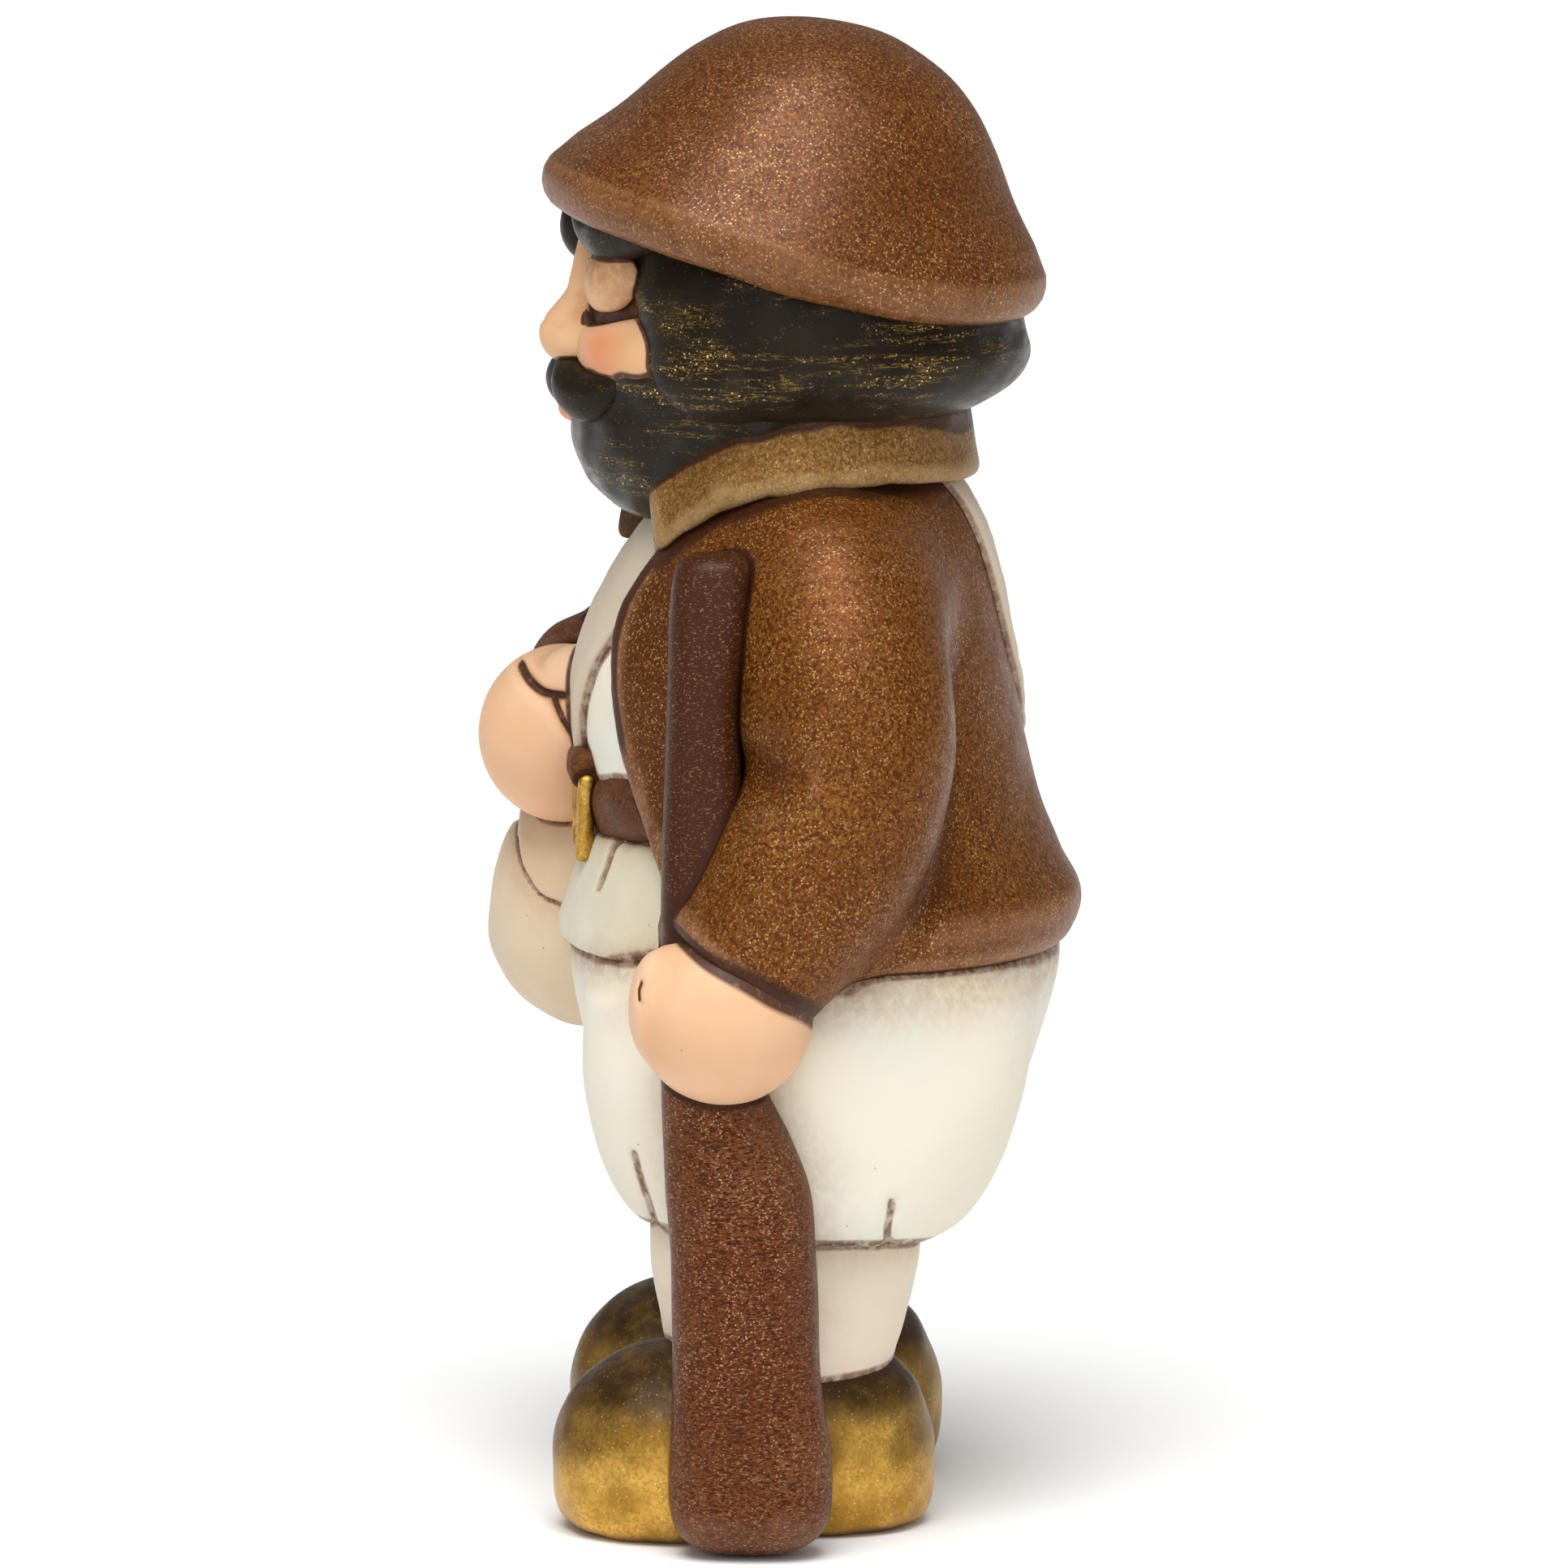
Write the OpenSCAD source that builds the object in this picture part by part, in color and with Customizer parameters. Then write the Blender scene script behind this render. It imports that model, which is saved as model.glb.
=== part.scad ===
// Standing shepherd figurine with a beret, a shoulder satchel and a thick staff.
// Millimetres. +Z is up, the figure faces -Y and its left hand is at +X.
// The origin is on the ground, at the centre of the figure's outline.

/* [Figure] */
// Height of the seam between breeches and torso
waist_z = 63.5; // [62:0.5:65]
// Height of the middle of the belt
belt_z = 79.2; // [78:0.2:81]
// Wall of the hollow pieces
wall = 4.5; // [3.5:0.5:5]
// Diameter of the vent hole under the seat
vent_d = 4; // [3:0.5:6]

/* [Head] */
// Turn of the head towards the figure's left, in degrees
head_turn = 8; // [0:1:12]
// Height of the middle of the head
head_z = 134; // [133:0.5:135]
// Half width of the hair
hair_half_w = 25; // [24:0.5:26]

/* [Cap] */
// Radius of the cap's rolled rim
cap_r = 29; // [28:0.5:30]
// Height of the crown above the rim
cap_h = 24; // [22:0.5:26]
// Backward tilt of the cap, in degrees
cap_tilt = 13; // [10:1:16]
// Height of the rim's middle above the ground
cap_z = 145.6; // [145:0.2:147]

/* [Legs] */
// Distance from the middle to each leg's axis
leg_x = 17; // [16.5:0.5:18]
// Outward turn of each foot, in degrees
foot_splay = 12; // [8:1:15]
// Height of the shoe over the toes
shoe_h = 21; // [20:0.5:22]
// Height of the breeches' lower edge
cuff_z = 31.5; // [31:0.5:33]

/* [Staff] */
// Height of the staff's top
staff_h = 113; // [110:1:115]
// Distance from the middle to the staff's foot
staff_x = 36.5; // [36:0.5:37.5]

/* [Satchel] */
// Half width, half depth and half height of the satchel
satchel_r = [14.5, 12.7, 13]; // [11:0.1:15]
// Width of the shoulder strap
strap_w = 14; // [12:0.5:15]
// Thickness of the shoulder strap
strap_t = 1.6; // [1.2:0.1:2]

/* [Hidden] */

// Sides of a ring on a large, a middling and a small piece
large_sides = 32;
mid_sides = 24;
small_sides = 16;
// Rings that the smoothing puts between two stations
steps = 2;
// Size of a block that is larger than the figure
big = 400;
// Moves the figure so that the middle of its outline is over the origin
centre_shift = [-1.85, 0, 0];
// Middle of the neck, and the axis that the head turns about
neck_y = 2.6;

// Horizontal sections: height, middle in y, half width, half depth
shirt_form = [
  [waist_z, 3, 30, 24.6], [70, 2.8, 31.3, 25.2], [belt_z, 1.9, 29.5, 23.2], [90, 0.4, 27, 23.2],
  [98, 0.2, 25.6, 21.6], [108, 1.3, 23, 18.6], [114, 2.2, 18, 15], [118, neck_y, 13, 11.5],
  [121.5, neck_y, 12, 11],
];
jacket_form = [
  [waist_z, 3.5, 32.5, 27.6], [65.5, 3.7, 34.6, 29.3], [69.5, 3.9, 35.4, 30], [75, 3.3, 33.2, 28.3],
  [83, 2, 30.6, 26.4], [98, 0.6, 28.6, 24.6], [108, 1.5, 26.2, 21.8], [114, 2.5, 21.5, 18],
  [118, neck_y, 16, 13.8],
];
seat_form = [
  [41, 3.2, 20, 17], [42.5, 3.3, 27, 22.5], [48, 3.4, 33, 26.2], [56, 3.5, 35, 27.4],
  [waist_z, 3.5, 34.2, 27.4],
];
leg_form = [
  [cuff_z, 1.2, 13.2, 14], [cuff_z + 1.8, 2, 15.6, 18.4], [39, 2.9, 17.3, 23.2], [48, 3.3, 17.8, 25.8],
  [56, 3.4, 15, 24],
];
sock_form = [[13, 0.8, 11, 11], [18, 0.8, 12, 12.2], [cuff_z, 1, 13.6, 15.2], [cuff_z + 4, 1, 13, 14.6]];
tail_form = [
  [61.3, 2.8, 30, 26.8], [63.5, 2.8, 32, 28.2], [68.5, 2.4, 32, 27.8], [72, 2, 31, 26.6],
  [75, 1.8, 29.8, 25.2],
];
collar_form = [[114.6, 1.8, 20.6, 19.6], [116, 1.9, 22.6, 21], [119, 2.3, 21.6, 20.2], [123, 2.5, 19.6, 18.6]];
hair_form = [
  [121.5, 2.6, 19, 17], [123.5, 2.5, 21, 19.5], [127, 2.4, 23.8, 23], [131.5, 2.2, hair_half_w, 25],
  [137, 2, hair_half_w - 0.2, 24.6], [144, 2, 23.4, 23], [150, 2, 21, 21],
];

// Middle line of the left sleeve: place, then half width across and half depth along the body
sleeve_left_form = [
  [22, 5, 112, 7, 8.5], [26, 6.3, 106, 9.6, 11.3], [29, 7.4, 97, 10.4, 12.1], [31.5, 7, 87, 10.6, 12.1],
  [33.8, 4.6, 78.5, 10.4, 11.4], [35.4, 0.2, 72, 10, 10.5], [36.8, -4.9, 66.6, 9.7, 9.9],
];
// Shoulder, elbow and wrist of the right arm, each with its three half axes
arm_right = [[[-24, 4, 107], [10, 10, 9.5]], [[-34, -4, 94], [11, 11.5, 11]], [[-18, -23, 91], [8, 8.6, 9]]];
// The staff's horizontal sections: middle, then half thickness and half width
staff_form = [
  [staff_x, -3.9, 0, 5, 7.2], [staff_x, -3.8, 2, 6.2, 8.6], [staff_x, -3.7, 9, 6.5, 8.8],
  [staff_x, -4.2, 20, 6.2, 8.2], [staff_x, -4.5, 36, 6, 8.1], [staff_x, -6.2, 46, 5.4, 6.8],
  [staff_x - 0.1, -8, 56, 4.9, 5.2], [staff_x - 0.3, -8.6, 70, 4.7, 4.6], [staff_x - 3, -8.8, 90, 4.6, 4.3],
  [staff_x - 5.6, -8.6, staff_h - 4, 4.5, 4.3], [staff_x - 6, -8.5, staff_h, 3.2, 3],
];

// Smooth curve through rows of numbers, with k rows for each stretch
function between(a, b, c, d, t) =
  0.5 * (2 * b + (c - a) * t + (2 * a - 5 * b + 4 * c - d) * t * t + (3 * b - a - 3 * c + d) * t * t * t);
function smooth(rows, k = steps) = let (n = len(rows)) concat(
  [for (i = [0:n - 2], j = [0:k - 1])
    between(rows[max(i - 1, 0)], rows[i], rows[i + 1], rows[min(i + 2, n - 1)], j / k)],
  [rows[n - 1]]);
function unit(v) = v / norm(v);
function level_ring(s, x, sides) =
  [for (i = [0:sides - 1]) let (a = 360 * i / sides) [x + s[2] * cos(a), s[1] + s[3] * sin(a), s[0]]];
function grown(form, d) = [for (s = form) [s[0], s[1], s[2] + d, s[3] + d]];
// Ring across a path, its first half axis as near to the given side direction as it can be
function path_ring(p, q, s, side, sides) =
  let (along = unit(q - p), u = unit(side - (side * along) * along), v = cross(along, u))
  [for (i = [0:sides - 1]) let (a = 360 * i / sides) [s[0], s[1], s[2]] + s[3] * cos(a) * u + s[4] * sin(a) * v];
function place_of(s) = [s[0], s[1], s[2]];

// Closed skin over rings that all have the same number of points
module skin(rings) {
  n = len(rings[0]);
  last = len(rings) - 1;
  first_cap = [for (i = [0:n - 1]) i];
  sides = [for (k = [0:last - 1], i = [0:n - 1])
    let (a = k * n + i, b = k * n + (i + 1) % n) each [[a, a + n, b + n], [a, b + n, b]]];
  last_cap = [for (i = [n - 1:-1:0]) last * n + i];
  polyhedron([for (r = rings) each r], concat([first_cap], sides, [last_cap]));
}
// Upright body through horizontal sections
module loft(form, x = 0, sides = large_sides, k = steps) {
  skin([for (s = smooth(form, k)) level_ring(s, x, sides)]);
}
// Limb swept along a path
module limb(form, side = [1, 0, 0], sides = mid_sides, k = steps) {
  rows = smooth(form, k);
  last = len(rows) - 1;
  skin([for (i = [0:last])
    path_ring(place_of(rows[max(i - 1, 0)]), place_of(rows[min(i + 1, last)]), rows[i], side, sides)]);
}
// Egg of three half axes, with small flat ends
module egg(middle, r, sides = mid_sides) {
  lats = sides / 2;
  skin([for (k = [0:lats]) let (b = -84 + 168 * k / lats)
    level_ring([middle[2] + r[2] * sin(b), middle[1], r[0] * cos(b), r[1] * cos(b)], middle[0], sides)]);
}
module turned_head() { translate([0, neck_y, 0]) rotate([0, 0, head_turn]) translate([0, -neck_y, 0]) children(); }
module mirrored(side) { if (side > 0) children(); else mirror([1, 0, 0]) children(); }
// Everything below the plane that the cap sits on
module below_cap_seat() {
  translate([0, 1.4, cap_z - 3.2]) rotate([-cap_tilt, 0, 0]) translate([0, 0, -big / 2]) cube(big, center = true);
}

// Head
// Half of the cap's section, from the top of the crown to the underside of the rim
module cap_profile() {
  crown = [[0, 1], [0.21, 0.97], [0.39, 0.86], [0.53, 0.71], [0.65, 0.54], [0.78, 0.33], [0.93, 0.14]];
  roll = 4;
  polygon(concat(
    smooth([for (p = crown) [p[0] * cap_r, p[1] * cap_h]], 3),
    [for (a = [30:-20:-110]) [cap_r - roll + roll * cos(a), roll * sin(a) - 0.6]],
    [[20, -3.2], [0, -3.2]]));
}
module cap_hollow() {
  translate([0, 0, -3.3]) cylinder(h = 10.3, r1 = 16, r2 = 14.5);
  translate([0, 0, 6.9]) cylinder(h = 9, r1 = 14.5, r2 = 7);
}
module cap() {
  color([0.36, 0.2, 0.1])
    translate([0, 1.4, cap_z]) rotate([-cap_tilt, 0, 0]) difference() {
      rotate_extrude($fn = 64) cap_profile();
      cap_hollow();
    }
}
module head_form() { egg([0, 0.4, head_z], [21.5, 22.6, 21], large_sides); }
module hair() {
  color([0.16, 0.15, 0.11]) turned_head() difference() {
    intersection() { loft(hair_form); below_cap_seat(); }
    head_form();
    translate([0, -15.5 - big / 2, head_z]) cube(big, center = true);
    translate([0, neck_y, 115]) cylinder(h = 12, r = 13);
  }
}
module head() {
  color([0.86, 0.66, 0.48]) turned_head() difference() {
    intersection() { head_form(); below_cap_seat(); }
    egg([0, 0.4, head_z], [21.5 - wall, 22.6 - wall, 21 - wall], mid_sides);
    translate([0, neck_y, 105]) cylinder(h = 20, r = 7.5);
    loft(shirt_form);
  }
}
module nose() {
  color([0.88, 0.68, 0.5]) turned_head() difference() {
    hull() {
      egg([0, -24.4, head_z - 0.2], [3.8, 3.6, 3.4], small_sides);
      egg([0, -21.6, head_z + 8], [2, 1.6, 1.6], small_sides);
    }
    head_form();
  }
}
module eyelid(side) {
  color([0.84, 0.64, 0.47]) turned_head() mirrored(side) difference() {
    egg([10.5, -18.2, head_z + 6.8], [5, 4.4, 3.6], small_sides);
    head_form();
  }
}
module cheek(side) {
  color([0.88, 0.62, 0.46]) turned_head() mirrored(side) difference() {
    egg([11.4, -17.4, head_z - 0.6], [5.4, 4.8, 3.8], small_sides);
    head_form();
  }
}
module brow(side) {
  color([0.14, 0.14, 0.12]) turned_head() mirrored(side) difference() {
    limb([[1.6, -22.6, head_z + 11, 1.6, 1.6], [6.5, -21.2, head_z + 12.2, 2.6, 2.3],
      [12.5, -17.4, head_z + 11.4, 2.4, 2.2], [16.5, -13.6, head_z + 9.6, 1.5, 1.5]],
      side = [0, 0, 1], sides = small_sides);
    head_form();
  }
}
module beard_form() { egg([0, -11.4, 124.2], [18.5, 13.4, 11.2], mid_sides); }
module beard() {
  color([0.17, 0.15, 0.11]) turned_head() difference() {
    beard_form();
    head_form();
    loft(hair_form);
    loft(shirt_form);
  }
}
module moustache(side) {
  color([0.13, 0.12, 0.1]) turned_head() mirrored(side) difference() {
    limb([[0.4, -24.6, head_z - 4.6, 2, 1.8], [4, -24.9, head_z - 6, 3.3, 2.8], [8.6, -23.4, head_z - 7, 3.4, 2.8],
      [13, -19.6, head_z - 5.4, 2.5, 2.2], [15.6, -16.6, head_z - 3.6, 1.2, 1.2]],
      side = [0, 0, 1], sides = small_sides);
    head_form();
    beard_form();
  }
}
module lower_lip() {
  color([0.78, 0.4, 0.3]) turned_head() difference() {
    egg([0, -23.9, head_z - 9], [3.4, 1.9, 1.5], small_sides);
    beard_form();
    head_form();
  }
}

// Torso
// The collar before its neighbours are cut out of it
module collar_solid() {
  intersection() {
    loft(collar_form);
    translate([0, 0.6 * big - 9, 0]) cube([big, 1.2 * big, big], center = true);
  }
  for (side = [1, -1]) mirrored(side) hull() {
    translate([17, -7.6, 119.4]) sphere(2, $fn = small_sides);
    translate([19.6, -4, 115.6]) sphere(2, $fn = small_sides);
    translate([13.6, -15.2, 112]) sphere(1.6, $fn = small_sides);
    translate([13.4, -12, 117.4]) sphere(1.6, $fn = small_sides);
  }
}
module collar() {
  color([0.5, 0.38, 0.2]) difference() {
    collar_solid();
    loft(jacket_form);
    loft(shirt_form);
    turned_head() loft(hair_form);
    turned_head() beard_form();
    turned_head() head_form();
  }
}
// The jacket is open in front, and wider open towards the hem
module jacket_opening() {
  half = [[5, 120], [10, 108], [17.2, 97], [19.4, 87], [25, 76], [29.5, 68], [30.5, 60]];
  outline = concat(half, [for (i = [len(half) - 1:-1:0]) [-half[i][0], half[i][1]]]);
  rotate([90, 0, 0]) linear_extrude(60) polygon(outline);
}
module jacket() {
  color([0.36, 0.21, 0.1]) difference() {
    loft(jacket_form);
    loft(shirt_form);
    jacket_opening();
  }
}
module shirt() {
  hollow = [for (s = shirt_form) if (s[0] < 118) [s[0] == waist_z ? waist_z - 0.1 : s[0], s[1], s[2] - wall, s[3] - wall]];
  color([0.88, 0.87, 0.78]) difference() {
    loft(shirt_form);
    loft(hollow, sides = mid_sides);
    translate([0, neck_y, 112]) cylinder(h = 12, r = 7.5);
  }
}
module shirt_tail() {
  color([0.86, 0.85, 0.76]) difference() {
    intersection() { loft(tail_form); jacket_opening(); }
    loft(shirt_form);
    loft(seat_form);
  }
}
module belt_form(grow = 0) {
  loft([[belt_z - 4.4, 1.9, 29.4 + grow, 23.6 + grow], [belt_z - 2.4, 1.9, 31.4 + grow, 25.2 + grow],
    [belt_z + 2.4, 1.6, 30.8 + grow, 25.2 + grow], [belt_z + 4.4, 1.4, 28.6 + grow, 23.6 + grow]]);
}
module belt() {
  color([0.28, 0.17, 0.12]) difference() {
    intersection() { belt_form(); jacket_opening(); }
    loft(shirt_form);
  }
}
module buckle_place() { translate([3, -23.6, belt_z]) rotate([90, 0, 4]) children(); }
module rounded_plate(w, h, t, r) {
  linear_extrude(t) offset(r = r, $fn = mid_sides) square([w - 2 * r, h - 2 * r], center = true);
}
module buckle() {
  color([0.72, 0.53, 0.2]) difference() {
    buckle_place() difference() {
      translate([0, 0, -1.6]) rounded_plate(11, 12.4, 3.2, 2.4);
      translate([0, 0, -2]) rounded_plate(5.6, 7, 4, 1.2);
    }
    belt_form();
    loft(shirt_form);
    hand_right_form();
  }
}
module buckle_prong() {
  color([0.72, 0.53, 0.2]) difference() {
    buckle_place() translate([-2.75, -0.7, -0.8]) cube([5.5, 1.4, 1.8]);
    belt_form();
    loft(shirt_form);
    hand_right_form();
  }
}

// Arms
module sleeve_left() {
  color([0.38, 0.22, 0.12]) difference() {
    limb(sleeve_left_form);
    loft(jacket_form);
    staff_solid();
    hand_left_form();
    collar_solid();
  }
}
module sleeve_right_solid() {
  for (k = [0, 1]) hull() {
    egg(arm_right[k][0], arm_right[k][1]);
    egg(arm_right[k + 1][0], arm_right[k + 1][1]);
  }
}
module sleeve_right() {
  color([0.36, 0.21, 0.12]) difference() {
    sleeve_right_solid();
    loft(jacket_form);
    hand_right_form();
    collar_solid();
  }
}
module hand_left_form() { egg([38.3, -7.2, 61.4], [10.4, 10.2, 10.2]); }
module hand_left() {
  color([0.9, 0.7, 0.53]) difference() {
    hand_left_form();
    staff_solid();
    loft(jacket_form);
  }
}
module hand_right_form() { egg([-10.8, -25.4, 86.4], [10, 8.6, 10.6]); }
module hand_right() {
  color([0.9, 0.7, 0.53]) difference() {
    hand_right_form();
    loft(shirt_form);
    belt_form();
  }
}

// Satchel and its strap
// A slab across the torso, from a high point to a low one in the front view
module slab(high, low, w) {
  lean = atan2(high[0] - low[0], high[1] - low[1]);
  translate([high[0], 0, high[1]]) rotate([0, lean, 0]) translate([-w / 2, -big / 2, -90]) cube([w, big, 110]);
}
module strap_shell() { loft(grown(jacket_form, strap_t)); }
module satchel_strap_front() {
  color([0.8, 0.72, 0.58]) difference() {
    intersection() {
      strap_shell();
      slab([11, 113], [-6, 87], strap_w);
      translate([-14, -60, belt_z + 4.4]) cube([60, 56, 60]);
    }
    difference() { loft(jacket_form); jacket_opening(); }
    loft(shirt_form);
    hand_right_form();
    collar_solid();
    turned_head() beard_form();
    limb(sleeve_left_form);
  }
}
module satchel_strap_back() {
  color([0.8, 0.72, 0.58]) difference() {
    intersection() {
      strap_shell();
      slab([1, 115], [-11, 99], strap_w);
      union() {
        translate([-60, -2, waist_z + 3]) cube([120, 60, 60]);
        translate([-60, -16, waist_z + 3]) cube([36, 20, 24]);
      }
    }
    loft(jacket_form);
    collar_solid();
    sleeve_right_solid();
    satchel_form(0.9);
  }
}
module satchel_form(d = 0) { egg([-19, -20.4, 64.6], [satchel_r[0] + d, satchel_r[1] + d, satchel_r[2] + d]); }
module satchel_flap_zone() { translate([-40, -50, 69]) rotate([10, 0, 0]) cube([60, 60, 30]); }
module satchel() {
  color([0.76, 0.68, 0.54]) difference() {
    satchel_form();
    satchel_flap_zone();
    loft(seat_form);
    loft(jacket_form);
    loft(tail_form);
    hand_right_form();
  }
}
module satchel_flap() {
  color([0.74, 0.66, 0.52]) difference() {
    intersection() { satchel_form(0.9); satchel_flap_zone(); }
    loft(seat_form);
    loft(jacket_form);
    loft(tail_form);
    belt_form();
    hand_right_form();
    sleeve_right_solid();
  }
}

// Legs
module breeches() {
  color([0.9, 0.89, 0.8]) difference() {
    union() {
      loft(seat_form);
      for (side = [1, -1]) loft(leg_form, x = side * leg_x, sides = mid_sides);
    }
    loft([[41 + wall, 3.4, 20, 17], [48, 3.4, 26.5, 21], [56, 3.5, 29.5, 22.5], [waist_z + 0.1, 3.5, 29, 22.5]],
      sides = mid_sides);
    translate([0, 3.4, 36]) cylinder(h = 14, d = vent_d);
    for (side = [1, -1]) loft(sock_form, x = side * leg_x, sides = mid_sides);
    staff_solid();
  }
}
module sock(side) {
  color([0.82, 0.74, 0.6]) loft(sock_form, x = side * leg_x, sides = mid_sides);
}
module shoe(side) {
  color([0.55, 0.42, 0.14]) difference() {
    translate([side * leg_x, 0.8, 0]) rotate([0, 0, side * foot_splay]) intersection() {
      hull() {
        egg([0, -12.6, 9.6], [13.2, 14, shoe_h - 9.6]);
        egg([0, 3.4, 9.6], [12.4, 12, shoe_h - 11]);
        translate([0, -12.6, 0]) scale([10.4, 11.2, 1]) cylinder(h = 0.5, r = 1, $fn = mid_sides);
        translate([0, 3.4, 0]) scale([9.8, 9.4, 1]) cylinder(h = 0.5, r = 1, $fn = mid_sides);
      }
      translate([0, 0, big / 2]) cube(big, center = true);
    }
    loft(sock_form, x = side * leg_x, sides = mid_sides);
    staff_solid();
  }
}

// Staff
module staff_solid() {
  skin([for (s = smooth(staff_form)) level_ring([s[2], s[1], s[3], s[4]], s[0], mid_sides)]);
}
module staff() { color([0.3, 0.18, 0.12]) staff_solid(); }

module placed() { translate(centre_shift) children(); }
placed() cap();
placed() hair();
placed() head();
placed() nose();
placed() eyelid(1);  // eyelid_left
placed() eyelid(-1);  // eyelid_right
placed() cheek(1);  // cheek_left
placed() cheek(-1);  // cheek_right
placed() brow(1);  // brow_left
placed() brow(-1);  // brow_right
placed() moustache(1);  // moustache_left
placed() moustache(-1);  // moustache_right
placed() lower_lip();
placed() beard();
placed() collar();
placed() jacket();
placed() sleeve_left();
placed() sleeve_right();
placed() hand_left();
placed() hand_right();
placed() shirt();
placed() shirt_tail();
placed() belt();
placed() buckle();
placed() buckle_prong();
placed() satchel_strap_front();
placed() satchel_strap_back();
placed() satchel();
placed() satchel_flap();
placed() breeches();
placed() sock(1);  // sock_left
placed() sock(-1);  // sock_right
placed() shoe(1);  // shoe_left
placed() shoe(-1);  // shoe_right
placed() staff();
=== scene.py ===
"""A hand-painted ceramic shepherd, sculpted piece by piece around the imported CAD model.

Each piece is a signed distance field in millimetres, meshed and then painted by attributes on its points.
"""
import math
from functools import partial
import bpy
import numpy as np
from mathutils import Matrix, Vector


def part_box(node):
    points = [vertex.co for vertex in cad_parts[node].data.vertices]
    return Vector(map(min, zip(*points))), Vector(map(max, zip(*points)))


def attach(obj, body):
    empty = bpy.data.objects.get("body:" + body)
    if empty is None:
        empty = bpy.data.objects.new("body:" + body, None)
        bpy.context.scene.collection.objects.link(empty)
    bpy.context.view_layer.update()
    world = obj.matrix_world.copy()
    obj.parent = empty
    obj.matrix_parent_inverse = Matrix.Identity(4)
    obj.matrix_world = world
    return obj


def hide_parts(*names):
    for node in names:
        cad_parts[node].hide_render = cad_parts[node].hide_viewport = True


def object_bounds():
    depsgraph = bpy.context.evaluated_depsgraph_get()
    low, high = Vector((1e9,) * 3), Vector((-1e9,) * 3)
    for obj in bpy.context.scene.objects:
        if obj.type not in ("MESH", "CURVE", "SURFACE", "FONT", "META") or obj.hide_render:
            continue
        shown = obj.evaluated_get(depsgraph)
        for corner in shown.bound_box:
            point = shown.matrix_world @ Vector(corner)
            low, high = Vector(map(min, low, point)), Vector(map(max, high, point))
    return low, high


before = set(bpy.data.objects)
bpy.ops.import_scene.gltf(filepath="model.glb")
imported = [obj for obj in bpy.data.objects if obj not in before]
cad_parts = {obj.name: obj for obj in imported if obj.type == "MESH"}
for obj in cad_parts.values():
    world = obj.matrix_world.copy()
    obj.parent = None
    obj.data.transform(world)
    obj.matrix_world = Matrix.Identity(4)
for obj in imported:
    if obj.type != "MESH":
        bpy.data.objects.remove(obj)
cad_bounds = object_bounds()

MM = 0.001
# The height that the forms below are drawn for, in millimetres
DRAWN_HEIGHT = 170.2
# A distance beyond the whole figure
FAR = 1e3
SIDES = ((1, "left"), (-1, "right"))


# ---------------------------------------------------------------- the frame, in figure millimetres

def corners(node):
    """The lowest and the highest corner of a CAD node's box in millimetres."""
    low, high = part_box(node)
    return np.array(low) / MM, np.array(high) / MM


CAD_LOW, CAD_HIGH = (np.array(c) / MM for c in cad_bounds)
SCALE = (CAD_HIGH[2] - CAD_LOW[2]) / DRAWN_HEIGHT
# The figure's own middle plane is the middle of its breeches
MIDDLE = np.array([sum(c[0] for c in corners("breeches")) / 2, 0.0, CAD_LOW[2]])


def at(node, u=0.0, v=0.0, w=0.0):
    """A point of a CAD node's box in figure millimetres: -1 and 1 are its lowest and highest sides."""
    low, high = corners(node)
    place = (low + high) / 2 + np.array([u, v, w]) * (high - low) / 2
    return (place - MIDDLE) / SCALE


# ---------------------------------------------------------------- distance fields

def length(v):
    return np.sqrt((v * v).sum(1))


def smooth_step(x, low, high):
    t = np.clip((x - low) / (high - low), 0, 1)
    return t * t * (3 - 2 * t)


def near(d, reach):
    """1 on a surface, falling off with the distance from it."""
    return np.exp(-((d / reach) ** 2))


def beside(d, reach):
    """1 inside a form and on its surface, falling off outside it."""
    return near(np.maximum(d, 0), reach)


def join(a, b, k):
    """Both forms together, blended over k."""
    h = np.clip(0.5 + 0.5 * (b - a) / k, 0, 1)
    return b + (a - b) * h - k * h * (1 - h)


def cut(a, b, k=0.6):
    """a without the inside of b."""
    return -join(-a, b, k)


def both(a, b, k=0.6):
    """What is inside a and inside b."""
    return -join(-a, -b, k)


def turned(p, centre, axis, degrees):
    """Points seen from a frame that is turned about an axis through the centre."""
    angle = math.radians(degrees)
    c, s = math.cos(angle), math.sin(angle)
    i, j = [(1, 2), (2, 0), (0, 1)][axis]
    q = p - centre
    out = q.copy()
    out[:, i] = c * q[:, i] + s * q[:, j]
    out[:, j] = -s * q[:, i] + c * q[:, j]
    return out + centre


def ellipsoid(p, centre, radii):
    q = p - centre
    k0 = length(q / radii)
    k1 = length(q / (np.asarray(radii) ** 2))
    return k0 * (k0 - 1) / np.maximum(k1, 1e-6)


def squarish(u, v, power):
    """1 on an outline round the origin: an ellipse for a power of 2, and squarer above it."""
    return (np.abs(u) ** power + np.abs(v) ** power) ** (1 / power)


def spline(rows, count=8):
    """A smooth curve through rows of numbers."""
    rows = np.asarray(rows, float)
    last = len(rows) - 1
    out = []
    for i in range(last):
        a, b, c, d = rows[max(i - 1, 0)], rows[i], rows[i + 1], rows[min(i + 2, last)]
        for t in np.arange(count) / count:
            out.append(0.5 * (2 * b + (c - a) * t + (2 * a - 5 * b + 4 * c - d) * t ** 2
                              + (3 * b - a - 3 * c + d) * t ** 3))
    return np.array(out + [rows[-1]])


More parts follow.
